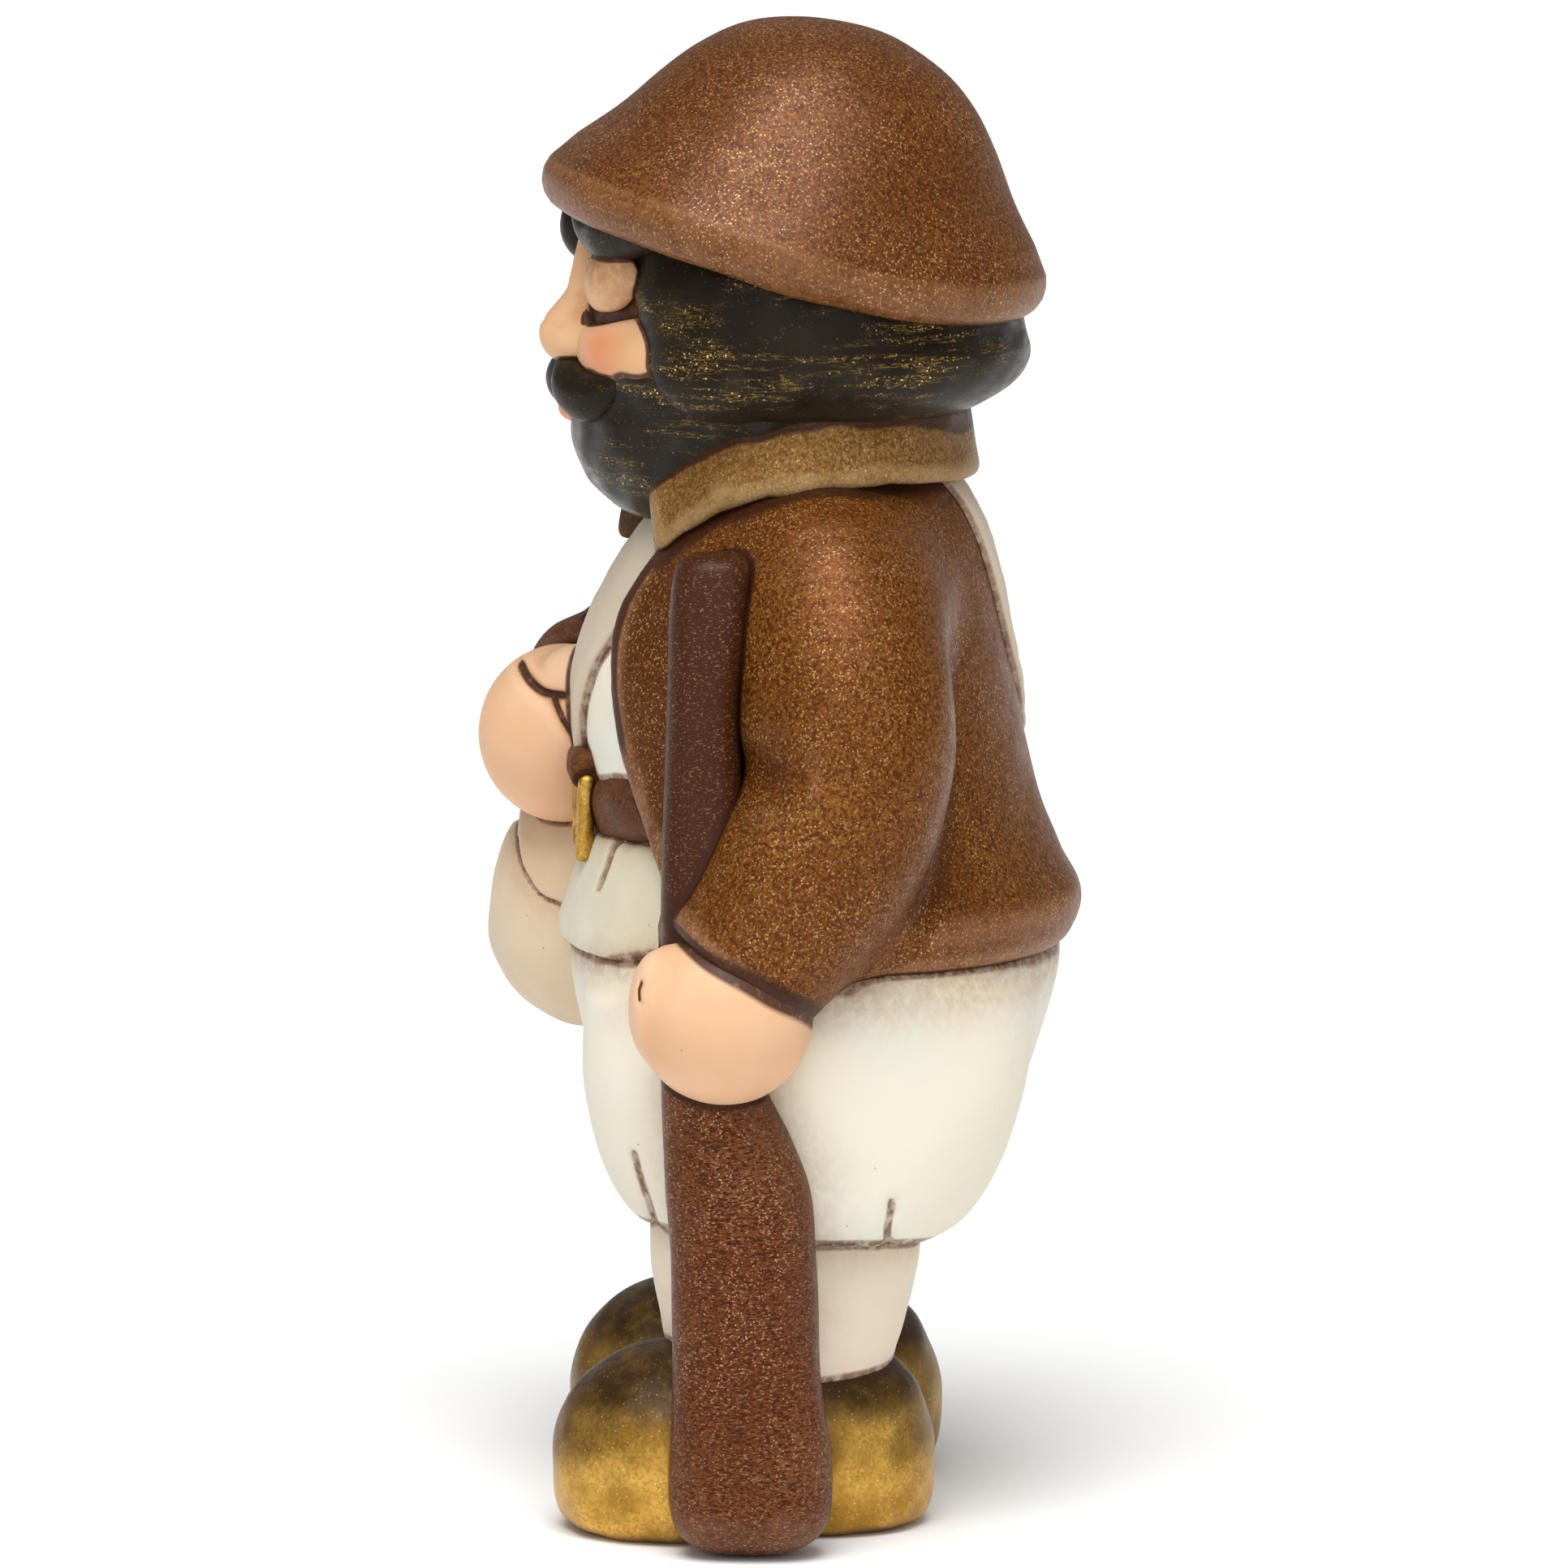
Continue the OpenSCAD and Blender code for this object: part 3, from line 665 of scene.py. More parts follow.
# ---------------------------------------------------------------- forms of the figure

# The neck's axis in y, and the head's turn and the cap's tilt in degrees
NECK_Y, HEAD_TURN, CAP_TILT = 2.6, 8.0, 13.5


def head_space(p):
    """Points seen from the head, which is turned to the figure's left."""
    return turned(p, (0, NECK_Y, 0), 2, HEAD_TURN)


SHIRT = Loft([(63, 3, 28, 22.0), (70, 2.8, 28.6, 22.0), (76, 2.2, 28.2, 21.8), (79.2, 1.9, 29.2, 22.3),
              (86, 0.6, 28.2, 22.3), (90, 0.1, 27.4, 22.3), (95, 0, 26.4, 22.1), (100.6, 0.3, 25.0, 20.8),
              (105.3, 0.8, 23.4, 19.2), (111.8, 1.9, 19.6, 17.0), (117, 2.4, 15.5, 13.6),
              (121.5, 2.6, 12, 11)])
JACKET_HEM = 64.0
JACKET = Loft([(JACKET_HEM, 3.6, 32.8, 28.0), (65.8, 3.8, 34.9, 29.6), (69.8, 4.1, 35.7, 30.4),
               (75, 3.5, 33.4, 28.4), (83, 2.2, 30.8, 26.8), (98, 0.8, 28.8, 25.0), (108, 1.5, 26.6, 22.2),
               (114, 2.2, 22.6, 19.2), (119, 2.4, 17.5, 15.5)], rounding=1.4)
SEAT = Loft([(34, 2.6, 28, 14), (38, 2.8, 31.5, 19.4), (42, 3.0, 33.4, 21.8), (48, 3.5, 35.2, 24.3),
             (56, 4.0, 36.0, 26.6), (62, 4.2, 35.6, 27.8), (66, 4.0, 34.0, 27.6)], rounding=3.0)
# Height of the trousers' hem below the leg's own middle, and its rise to the outside and the front
HEM_Z, HEM_RISE, HEM_FRONT_RISE = 32.2, 0.14, 0.2
# How far each leg is from the figure's middle
LEG_X = 17.0


def trouser_leg(p, side):
    rows = [(31.0, 2.4, 13.4, 11.6), (33.0, 2.8, 16.0, 15.1), (35.0, 3.1, 17.2, 18.2), (38, 3.1, 18.1, 20.7),
            (42, 3.2, 18.4, 22.7), (46.5, 3.4, 18.4, 24.1), (52, 3.6, 17.4, 25.0), (60, 3.9, 14, 25)]
    return Loft(rows, x=side * LEG_X, rounding=1.0)(p)


def hem(p):
    """Height above the trousers' hem, which rises to the outside and to the front."""
    return (p[:, 2] - HEM_Z - HEM_RISE * (np.abs(p[:, 0]) - LEG_X)
            - HEM_FRONT_RISE * np.maximum(-p[:, 1] - 4.0, 0))


def only_left(p, x=0.0):
    """A far distance to the right of x, which keeps a drawn line to the left of it."""
    return np.where(p[:, 0] > x, 0.0, FAR)


# The folds above the left leg's hem as y and z, with their width and depth
TROUSER_FOLDS = [([(13.2, 33.8), (13.2, 36.0), (13.6, 38.2), (13.7, 39.6)], 0.6, 0.6),
                 ([(-12.6, 34.0), (-13.3, 37.5), (-14.4, 41.0), (-15.2, 44.0)], 0.55, 0.6)]


def breeches(p):
    legs = np.minimum(trouser_leg(p, 1), trouser_leg(p, -1))
    d = both(join(SEAT(p), legs, 3.0), -hem(p), 1.3)
    for line, width, depth in TROUSER_FOLDS:
        d = d + depth * near(line_distance(p, line) + only_left(p), width)
    return d + hand_made(p, 0.08, 22, 2.0)


def sock(p, side):
    rows = [(13, 0.8, 10.6, 10.8), (18, 0.9, 11.9, 12.4), (24, 1.1, 12.9, 13.9), (31, 1.3, 14.0, 15.2),
            (36, 1.3, 14.2, 15.2)]
    return Loft(rows, x=side * LEG_X, rounding=1.0)(p) + hand_made(p, 0.08, 9, 4.0 + side)


def bun(q, centre, radii, squareness=2.7):
    """A bun that is round above its middle and boxy below it."""
    e = np.abs((q - centre) / radii)
    flat = np.hypot(e[:, 0], e[:, 1])
    above = np.hypot(flat, e[:, 2])
    below = squarish(flat, e[:, 2], squareness)
    k = np.where(q[:, 2] > centre[2], above, below)
    return (k - 1) * min(radii) * np.maximum(k, 0.3) ** -0.2


# How far each shoe points outwards, in degrees
SPLAY = 12.0


def shoe(p, side):
    middle = np.array([side * LEG_X, 0.8, 0])
    q = turned(p, middle, 2, side * SPLAY) - middle
    toe = bun(q, (0.6 * side, -12.0, 8.6), (13.8, 14.1, 12.8))
    heel = bun(q, (0, 5.2, 8.0), (12.8, 12.4, 11.8))
    ankle = ellipsoid(q, (0, 0.6, 15.0), (13.6, 13.6, 6.0))
    d = join(join(toe, heel, 5.0), ankle, 4.0)
    return both(d, -q[:, 2], 2.0) + hand_made(p, 0.1, 13, side)


# Height, middle in x and y, half thickness and half width of the staff
STAFF_CURVE = spline([(0, 36.2, -2.0, 5.2, 7.8), (3, 36.3, -1.9, 5.8, 8.7), (10, 36.4, -1.8, 6.0, 9.1),
                      (20, 36.4, -2.3, 5.9, 8.3), (33, 36.4, -2.6, 5.8, 8.1), (41, 36.3, -3.2, 5.7, 8.1),
                      (47, 36.2, -4.4, 5.4, 7.2), (54, 36.1, -6.2, 5.1, 5.6), (62, 36.0, -6.9, 4.9, 4.9),
                      (75, 35.5, -7.1, 4.8, 4.7), (88, 33.4, -7.2, 4.7, 4.3), (96, 32.3, -7.2, 4.7, 4.05),
                      (104, 31.2, -6.7, 4.6, 4.35), (109, 30.5, -6.3, 4.4, 4.35),
                      (112, 30.1, -5.8, 4.2, 3.9)])
# How squarely the staff's sides are flattened: 2 is an ellipse
STAFF_SQUARENESS = 2.6
STAFF_FOOT_ROUNDING, STAFF_TOP_ROUNDING = 5.5, 2.2


def staff(p):
    z = p[:, 2]
    order = np.argsort(STAFF_CURVE[:, 0])
    zs, cx, cy, rx, ry = STAFF_CURVE[order].T
    zc = np.clip(z, zs[0], zs[-1])
    rx, ry = np.interp(zc, zs, rx), np.interp(zc, zs, ry)
    u, v = p[:, 0] - np.interp(zc, zs, cx), p[:, 1] - np.interp(zc, zs, cy)
    side = (squarish(u / rx, v / ry, STAFF_SQUARENESS) - 1) * np.minimum(rx, ry)
    d = both(side, zs[0] - z, STAFF_FOOT_ROUNDING)
    return both(d, z - zs[-1], STAFF_TOP_ROUNDING) + hand_made(p, 0.05, 24, 7.0)


# The arms from the shoulder to the cuff: x, y, z and radius
LEFT_ARM = [(19, 4.5, 109.5, 8.0), (24.5, 6.6, 106.0, 10.4), (28.6, 8.0, 98.5, 12.0), (31.6, 8.4, 90, 12.3),
            (33.6, 7.0, 82.5, 11.9), (35.4, 3.5, 75.5, 11.2), (37.0, -2.4, 67.5, 9.9),
            (37.8, -6.2, 62.0, 9.1)]
RIGHT_ARM = [(-19, 4.5, 108.5, 8.5), (-25, 4.4, 104.5, 10.4), (-31.0, 1.6, 98.5, 11.4),
             (-33.6, -4.6, 92.8, 11.2), (-30.5, -13.0, 89.8, 10.4), (-24.5, -18.9, 89.2, 9.8),
             (-18.5, -22.0, 89.2, 9.2)]
# Each cuff's plane: a point on it and its normal towards the hand
CUFF_LEFT = (np.array([37.0, -3.4, 65.6]), np.array([0.05, -0.61, -0.79]))
CUFF_RIGHT = (np.array([-17.0, -22.4, 90.0]), np.array([0.80, -0.52, -0.30]))
# The soft fold inside the left elbow, as y and z, and its depth
ELBOW_FOLD, ELBOW_DEPTH = [(-3.4, 88.0), (0.6, 88.9), (6.4, 88.7)], 1.5
# The slope of the cut between the jacket and its sleeves, and how far the jacket runs on under them
SEAM_SLOPE, SEAM_OVERLAP = 0.6, 1.2


def beyond(p, plane):
    """Distance past a plane, negative before it."""
    return (p - plane[0]) @ (plane[1] / np.linalg.norm(plane[1]))


def jacket_and_sleeves(p):
    """The jacket's body and sleeves in one, and each alone."""
    body, left, right = JACKET(p), tube(p, LEFT_ARM), tube(p, RIGHT_ARM)
    softness = 4.5 + 7.0 * smooth_step(p[:, 2], 94.0, 106.0)
    return join(join(body, left, softness), right, softness), body, left, right


# Height of the jacket's open front, and how far it reaches to the figure's left and right
OPENING = np.array([(60, 30.5, 28), (66, 30.0, 27), (73, 27.8, 24), (77.2, 25.2, 21), (82.9, 22.0, 18),
                    (88, 20.0, 16), (95, 17.9, 14), (101, 16.7, 12.8), (105, 16.2, 12.2), (109, 16.6, 11.6),
                    (112, 16.6, 11.0), (119, 12.0, 9.0)])


def opening(p):
    """The jacket's open front: negative inside it."""
    left = p[:, 0] - np.interp(p[:, 2], OPENING[:, 0], OPENING[:, 1])
    right = -p[:, 0] - np.interp(p[:, 2], OPENING[:, 0], OPENING[:, 2])
    return np.maximum(np.maximum(left, right) * 0.85, p[:, 1] + 4.0)


def jacket_shape(p):
    """The jacket as it would be without the lines where its sleeves begin."""
    d = np.maximum(jacket_and_sleeves(p)[0], JACKET_HEM - p[:, 2])
    return cut(d, opening(p), 1.8)


def jacket(p):
    d, body, *arms = jacket_and_sleeves(p)
    d = d + 0.06
    for arm in arms:
        d = np.maximum(d, (body - arm) * SEAM_SLOPE - SEAM_OVERLAP)
    d = np.maximum(d, JACKET_HEM - p[:, 2])
    return cut(d, opening(p), 1.8) + hand_made(p, 0.1, 20, 1.0)


def elbow_fold(p):
    """How much of the left elbow's fold there is at a place: 1 in its middle."""
    fade = smooth_step(-p[:, 1], -6.0, 0.0)
    return fade * near(line_distance(p, ELBOW_FOLD) + only_left(p), 3.2)


def cuffed(p, d, cuff):
    return both(d, beyond(p, cuff), 2.2)


def sleeve_shape(p, cuff):
    """A sleeve as it would be without the line where it begins."""
    return cuffed(p, jacket_and_sleeves(p)[0], cuff)


def sleeve_left(p):
    d, body, left, _ = jacket_and_sleeves(p)
    d = cuffed(p, np.maximum(d, (left - body) * SEAM_SLOPE), CUFF_LEFT)
    return d + ELBOW_DEPTH * elbow_fold(p) + hand_made(p, 0.1, 20, 1.0)


def sleeve_right(p):
    d, body, _, right = jacket_and_sleeves(p)
    d = cuffed(p, np.maximum(d, (right - body) * SEAM_SLOPE), CUFF_RIGHT)
    return d + hand_made(p, 0.1, 20, 1.0)


def cuff_band(p):
    """The dark line round the left sleeve's end: 1 on it."""
    return near(np.minimum(beyond(p, CUFF_LEFT) + 0.7, 0), 0.5)


# The left hand lies a little behind its CAD egg
HAND_LEFT = at("hand_left") + (-0.2, 2.5, -0.3)
HAND_RIGHT = at("hand_right")


def thumb_line(p):
    """The short crease beside the left thumb."""
    y, z = HAND_LEFT[1:]
    line = [(y - 8.9, z + 4.4), (y - 9.2, z + 3.4), (y - 9.1, z + 2.4)]
    return line_distance(p, line) + only_left(p, HAND_LEFT[0])


def hand_left(p):
    d = ellipsoid(p, HAND_LEFT, (10.2, 9.9, 10.0))
    d = join(d, ellipsoid(p, HAND_LEFT + (1.6, -7.6, 1.8), (3.6, 2.3, 5.0)), 3.0)
    return d + 0.35 * near(thumb_line(p), 0.3)


def hand_right(p):
    d = ellipsoid(p, HAND_RIGHT + (0, 1.2, -0.8), (10.2, 9.8, 10.2))
    d = join(d, ellipsoid(p, HAND_RIGHT + (5.4, 3.4, 6.2), (4.6, 4.8, 4.0)), 1.2)
    return d + 0.7 * near(hand_right_crease(p), 0.55)


def hand_right_crease(p):
    """The forked crease under the right thumb."""
    y, z = HAND_RIGHT[1:]
    line = [(y - 3.4, z + 7.2), (y - 2.2, z + 5.9), (y - 0.6, z + 5.0), (y + 1.6, z + 4.8)]
    branch = [(y + 0.4, z + 4.8), (y + 1.4, z + 2.4), (y + 2.8, z + 0.2)]
    d = np.minimum(line_distance(p, line), line_distance(p, branch) + 0.15)
    return d + only_left(p, HAND_RIGHT[0])


def shirt(p):
    return SHIRT(p) + hand_made(p, 0.1, 12, 5.0)


def shirt_tail(p):
    rows = [(62.2, 2.6, 29.0, 24.6), (63.8, 2.4, 31.8, 26.8), (66.4, 2.2, 32.6, 27.3), (70, 2.1, 31.9, 26.0),
            (77.8, 1.8, 29.6, 22.9)]
    d = both(Loft(rows, rounding=1.8)(p), tail_edge(p), 1.8)
    d = np.maximum(d, p[:, 1] + 3.0)
    d = np.maximum(d, JACKET(p) + 0.5)
    return d + 1.1 * near(tail_fold(p), 0.6) + hand_made(p, 0.1, 12, 3.0)


def tail_edge(p):
    """Negative above the shirt tail's lower edge, which rises at the sides."""
    return 62.4 + 0.3 * np.maximum(np.abs(p[:, 0]) - 15.0, 0) - p[:, 2]


def tail_fold(p):
    long = line_distance(p, [(14.9, 77.8), (15.6, 75.0), (15.4, 72.4)], axes=(0, 2))
    short = line_distance(p, [(26.0, 75.0), (26.4, 73.6), (26.6, 72.4)], axes=(0, 2))
    return np.minimum(long, short)


BELT_Z = at("belt")[2]
# How much the belt rises from the buckle to the sides
BELT_RISE = 0.12


def belt(p):
    q = p.copy()
    q[:, 2] -= BELT_RISE * np.abs(p[:, 0])
    rows = [(BELT_Z - 4.3, 1.9, 29.2, 21.6), (BELT_Z - 2.6, 1.9, 31.2, 23.1), (BELT_Z, 1.8, 31.8, 23.7),
            (BELT_Z + 2.6, 1.7, 31.0, 23.1), (BELT_Z + 4.3, 1.5, 28.8, 21.4)]
    d = np.maximum(Loft(rows, rounding=1.4)(q), JACKET(p) + 0.5)
    loop = rounded_box(buckle_space(p) - (0.0, 0.8, 5.4), (4.6, 2.7, 2.3), 1.7)
    return np.maximum(join(d, loop, 0.8), p[:, 1] + 6.0) + hand_made(p, 0.06, 12, 6.0)


def buckle_space(p):
    """Points seen from the middle of the buckle, which leans a little."""
    c = at("buckle") + (1.2, 1.7, -0.5)
    return turned(turned(p, c, 2, 6.0), c, 0, -2.0) - c


def rounded_box(q, size, r):
    e = np.abs(q) - (np.asarray(size) - r)
    return length(np.maximum(e, 0)) + np.minimum(e.max(1), 0) - r


def buckle(p):
    q = buckle_space(p)
    outer = rounded_box(q, (5.4, 1.0, 5.0), 0.9)
    inner = rounded_box(q, (3.0, 4.0, 3.0), 1.2)
    return cut(outer, inner, 0.8) + hand_made(p, 0.06, 5, 9.0)


def buckle_prong(p):
    return rounded_box(buckle_space(p), (3.2, 0.9, 0.9), 0.8)


# The strap's half width, its middle line down the chest as x and z, and the height where it ends
STRAP_HALF, STRAP_FRONT, STRAP_END = 6.9, np.array([(12.8, 113), (-1.4, 89.6)]), 84.0


def satchel_strap_front(p):
    high, low = STRAP_FRONT
    along = (low - high) / np.linalg.norm(low - high)
    band = np.abs((p[:, [0, 2]] - high) @ np.array([along[1], -along[0]])) - STRAP_HALF
    d = np.maximum(both(SHIRT(p) - 1.4, band, 1.8), p[:, 1] + 4.0)
    return np.maximum(d, STRAP_END - p[:, 2]) + hand_made(p, 0.08, 11, 8.0)


# The strap's middle line over the back and round the right side to the satchel
STRAP_BACK = [(-1.2, 15.0, 121.0), (-1.6, 20.5, 113.5), (-2.4, 23.2, 107.5), (-5.6, 24.8, 100.5),
              (-11.5, 25.0, 93.0), (-19.5, 21.5, 86.0), (-26.5, 15.0, 80.5), (-31.0, 6.0, 77.0),
              (-31.5, -4.0, 76.0), (-30.0, -13.0, 76.5)]


def satchel_strap_back(p):
    band = tube(p, [(*point, STRAP_HALF) for point in STRAP_BACK])
    return both(JACKET(p) - 1.1, band, 1.2) + hand_made(p, 0.1, 9, 8.0)


BAG = np.array([at("satchel")[0], -21.2, 64.6])
# The flap's half width, and how squarely its corners are rounded: 2 is an ellipse
FLAP_HALF, FLAP_SQUARENESS = 7.6, 2.4


def bag_form(p):
    low = ellipsoid(p, BAG + (0, 0, -1.8), (14.4, 12.9, 12.2))
    high = ellipsoid(p, BAG + (0, 0.6, 5.0), (12.9, 11.8, 10.0))
    return join(low, high, 4.0)


def satchel(p):
    d = bag_form(p) + 0.4 * near(flap_outline(p), 0.5) + 0.7 * near(bag_fold(p), 0.6)
    return d + hand_made(p, 0.12, 12, 2.5)


def bag_fold(p):
    """A small fold in front of the flap."""
    return line_distance(p, [(-30.2, 77.6), (-31.2, 76.2), (-31.8, 74.4)]) + only_left(p, BAG[0])


def satchel_flap(p):
    return both(bag_form(p) - 0.55, flap_outline(p), 0.8) + hand_made(p, 0.08, 9, 3.5)


def flap_outline(p):
    """The flap's curved edge, seen from the side: negative inside it."""
    u, v = (p[:, 1] + 23.0) / FLAP_HALF, (p[:, 2] - 76.2) / 9.4
    return (squarish(u, v, FLAP_SQUARENESS) - 1) * FLAP_HALF


# Where the collar's edges run, from the front of the figure to its back, as y and z
COLLAR_BOTTOM = np.array([(-22, 107.4), (-16, 108.6), (-12.9, 109.9), (-10, 112.6), (-5.5, 115.6),
                          (0, 117.4), (13, 118.4), (24, 117.0)])
COLLAR_TOP = np.array([(-16, 117.6), (-14.2, 119.2), (-12.2, 121.8), (-7.0, 125.4), (0, 127.0),
                       (13, 127.2), (24, 126.2)])
COLLAR_LOFT = Loft([(108, 1.0, 25.2, 21.8), (112, 1.3, 25.0, 21.6), (117, 1.9, 24.4, 21.0),
                    (121, 2.1, 23.0, 20.1), (127, 2.2, 21.2, 19.2)])


def collar(p):
    side, y = COLLAR_LOFT.side(p), p[:, 1]
    bottom = np.interp(y, *COLLAR_BOTTOM.T) - p[:, 2]
    top = p[:, 2] - np.interp(y, *COLLAR_TOP.T)
    d = both(both(side, bottom * 0.9, 1.6), top * 0.8, 1.4)
    front = (9.5 - np.abs(p[:, 0])) * 0.8 + np.where(y < 0, 0.0, -FAR)
    # The left point ends farther back than the right one, which shows behind the strap
    points = np.where(p[:, 0] > 0, -12.6 - 0.2 * (p[:, 2] - 109.0), -22.0)
    d = both(both(d, front, 1.0), (points - y) * 0.95, 1.2)
    return np.maximum(d, -(side + 6.5)) + hand_made(p, 0.12, 15, 4.4)


# ---------------------------------------------------------------- head

HEAD_C, SKULL = (0.0, 0.2, 134.2), (21.6, 22.9, 21.0)


def skull(p):
    return ellipsoid(p, HEAD_C, SKULL)


# The nose from its root to its tip: x, y, z and radius
NOSE_ROWS = [(0, -20.1, 147.0, 1.8), (0, -21.2, 142.6, 1.8), (0, -21.9, 139.6, 1.8), (0, -22.5, 137.4, 1.9),
             (0, -23.75, 133.5, 3.4)]


def nose_form(p):
    wings = ellipsoid(np.abs(p) * (1, -1, 1), (2.3, -22.6, 132.6), (2.6, 2.8, 2.3))
    return join(tube(p, NOSE_ROWS), wings, 1.5)


def facing(p, side, angle, out, z):
    """Points seen from a place on the face: across, out of the face and up."""
    a = math.radians(angle) * side
    place = np.array([(SKULL[0] + out) * math.sin(a), HEAD_C[1] - (SKULL[1] + out) * math.cos(a), z])
    return turned(p, place, 2, math.degrees(a)) - place


# The lid's rounded outline seen from the side of the face, as y and z
LID_OUTLINE = spline([(-24.8, 142.0), (-23.3, 138.8), (-22.5, 137.0), (-21.1, 136.6), (-19.2, 136.95),
                      (-17.9, 137.9), (-17.1, 139.6), (-17.0, 141.5), (-17.6, 143.2), (-19.0, 145.0),
                      (-21.5, 147.0), (-24.5, 146.0)], 3)


def lid_outline(p):
    """Distance to the lid's edge as seen from the side: negative inside it."""
    return polygon_distance(p[:, [1, 2]], LID_OUTLINE)


def eyelid(p, side):
    p = head_space(p)
    ball = ellipsoid(facing(p, side, 23.5, -2.3, 139.8), (0, 0, 0), (4.5, 3.9, 4.2))
    plate = ellipsoid(facing(p, side, 28.5, -2.9, 142.0), (0, 0, 0), (5.2, 4.1, 4.4))
    return both(join(ball, plate, 1.4), lid_outline(p), 0.9)


def eye_top(p):
    """Height of the dark line's upper edge under a lid, which rises to the side of the face."""
    return 136.8 + 0.12 * np.maximum(np.abs(p[:, 0]) - 7.6, 0) ** 2


def eye_bottom(p):
    """Height of the cheek's upper edge."""
    x = np.abs(p[:, 0])
    return 135.2 + 0.028 * np.maximum(x - 5.0, 0) ** 2 + 1.2 * np.maximum(4.4 - x, 0) ** 2


def cheek(p, side):
    p = head_space(p)
    ball = ellipsoid(facing(p, side, 29.0, -3.0, 132.2), (0, 0, 0), (9.2, 4.8, 5.4))
    return both(ball, p[:, 2] - eye_bottom(p), 1.2)


# How much lower the right brow's inner end hangs, and how much further it stands out
RIGHT_BROW_DROP, RIGHT_BROW_OUT = 2.0, 0.6


def brow(p, side):
    drop, out = (0.0, 0.0) if side > 0 else (RIGHT_BROW_DROP, RIGHT_BROW_OUT)
    rows = [(side * 4.0, -20.7 - out, 149.0 - drop, 2.8), (side * 4.1, -20.8 - out, 147.0 - drop, 3.0),
            (side * 6.0, -20.1 - out / 2, 145.8 - drop, 3.1), (side * 9.6, -19.0, 145.6 - drop / 2, 3.35),
            (side * 13.0, -17.3, 146.4, 3.0), (side * 16.0, -15.4, 147.0, 2.4)]
    return tube(head_space(p), rows)


def moustache(p, side):
    rows = [(side * 1.1, -23.5, 130.2, 1.8), (side * 3.6, -23.0, 128.1, 3.1), (side * 6.8, -21.6, 127.2, 3.2),
            (side * 9.8, -20.3, 128.0, 2.3), (side * 11.8, -19.2, 129.4, 1.1)]
    return tube(head_space(p), rows)


# Where the face ends behind the dark lines in its eyes, and how deep they are
FACE_BACK, EYE_DEPTH = -6, 0.8


def eye_line(p):
    """The dark line under each lid: 1 on it."""
    x = np.abs(p[:, 0])
    inside = smooth_step(x, 2.7, 3.3) * (p[:, 1] < FACE_BACK)
    above, below = p[:, 2] - eye_top(p), eye_bottom(p) - p[:, 2]
    return beside(np.maximum(above, below) - 0.1, 0.3) * inside


def head(p):
    p = head_space(p)
    return skull(p) + 0.05 + EYE_DEPTH * eye_line(p)


def nose(p):
    p = head_space(p)
    form = nose_form(p)
    return both(join(form, skull(p), 1.8), form - 0.9, 0.4)


def lower_lip(p):
    return ellipsoid(head_space(p), (0, -23.1, 125.1), (2.8, 1.9, 1.55))


def beard(p):
    q = head_space(p)
    chin = ellipsoid(q, (0, -10.9, 123.2), (17.0, 12.6, 11.5))
    low = ellipsoid(q, (0, -4.5, 126.0), (20.4, 13.0, 8.5))
    top = 130.6 + 0.02 * np.abs(q[:, 0])
    whiskers = both(skull(q) - 1.7, q[:, 2] - top, 1.8)
    d = join(join(chin, low, 4.0), np.maximum(whiskers, 120.0 - q[:, 2]), 2.0)
    return d + hand_made(p, 0.12, 10, 1.5)


HAIR_LOFT = Loft([(122.6, 2.6, 16.0, 15.0), (124.4, 2.5, 19.0, 17.8), (126.0, 2.4, 22.0, 21.2),
                  (127.6, 2.3, 24.2, 23.8), (129.4, 2.3, 25.6, 25.4), (131.6, 2.3, 26.2, 26.1),
                  (134.4, 2.2, 26.0, 25.6), (139, 2.1, 25.3, 24.8),
                  (144, 2, 23.8, 23.2), (150, 2, 21.5, 21)], rounding=1.0)
# The hair's front edge beside the face, as z and y
HAIR_EDGE = np.array([(118, -1.0), (121.5, -6.0), (124.0, -10.2), (126.0, -12.8), (128.6, -15.2),
                      (131.5, -16.5), (138, -17.3), (141, -17.8), (146, -18.5), (150, -19.0)])
# How much the hair hangs lower towards the face
HAIR_SAG = 0.15


def hair(p):
    q = head_space(p)
    lower = q.copy()
    lower[:, 2] += HAIR_SAG * np.maximum(-q[:, 1], 0) * smooth_step(-q[:, 2], -137.0, -129.0)
    front = (np.interp(q[:, 2], *HAIR_EDGE.T) - q[:, 1]) * 0.9
    return both(HAIR_LOFT(lower), front, 2.4) + hand_made(p, 0.12, 12, 0.5)


# The cap's section: distance from its axis and height above the rim's middle
CAP_CROWN = [(0.0, 23.4), (5.6, 22.7), (11.4, 20.6), (15.6, 17.4), (19.3, 13.2), (22.9, 8.0), (26.4, 3.9)]
# The rolled rim's middle and radius, the directions in which its outline is drawn, and the cap's inside
CAP_RIM, CAP_ROLL = (25.3, -0.6), 3.5
RIM_ANGLES = np.radians(np.arange(45, -136, -20))
CAP_INSIDE = [(18.0, -1.2), (17.0, 3.0), (0.0, 3.0)]
CAP_RIM_OUTLINE = CAP_RIM + CAP_ROLL * np.stack([np.cos(RIM_ANGLES), np.sin(RIM_ANGLES)], 1)
CAP_OUTLINE = np.concatenate([spline(CAP_CROWN, 5), CAP_RIM_OUTLINE, CAP_INSIDE])
# How fast the cap droops to its sides, and how much more it does so at its back
CAP_DROOP, CAP_BACK_DROOP = 0.0009, 0.00009
# How far its top leans back
CAP_LEAN = 0.9


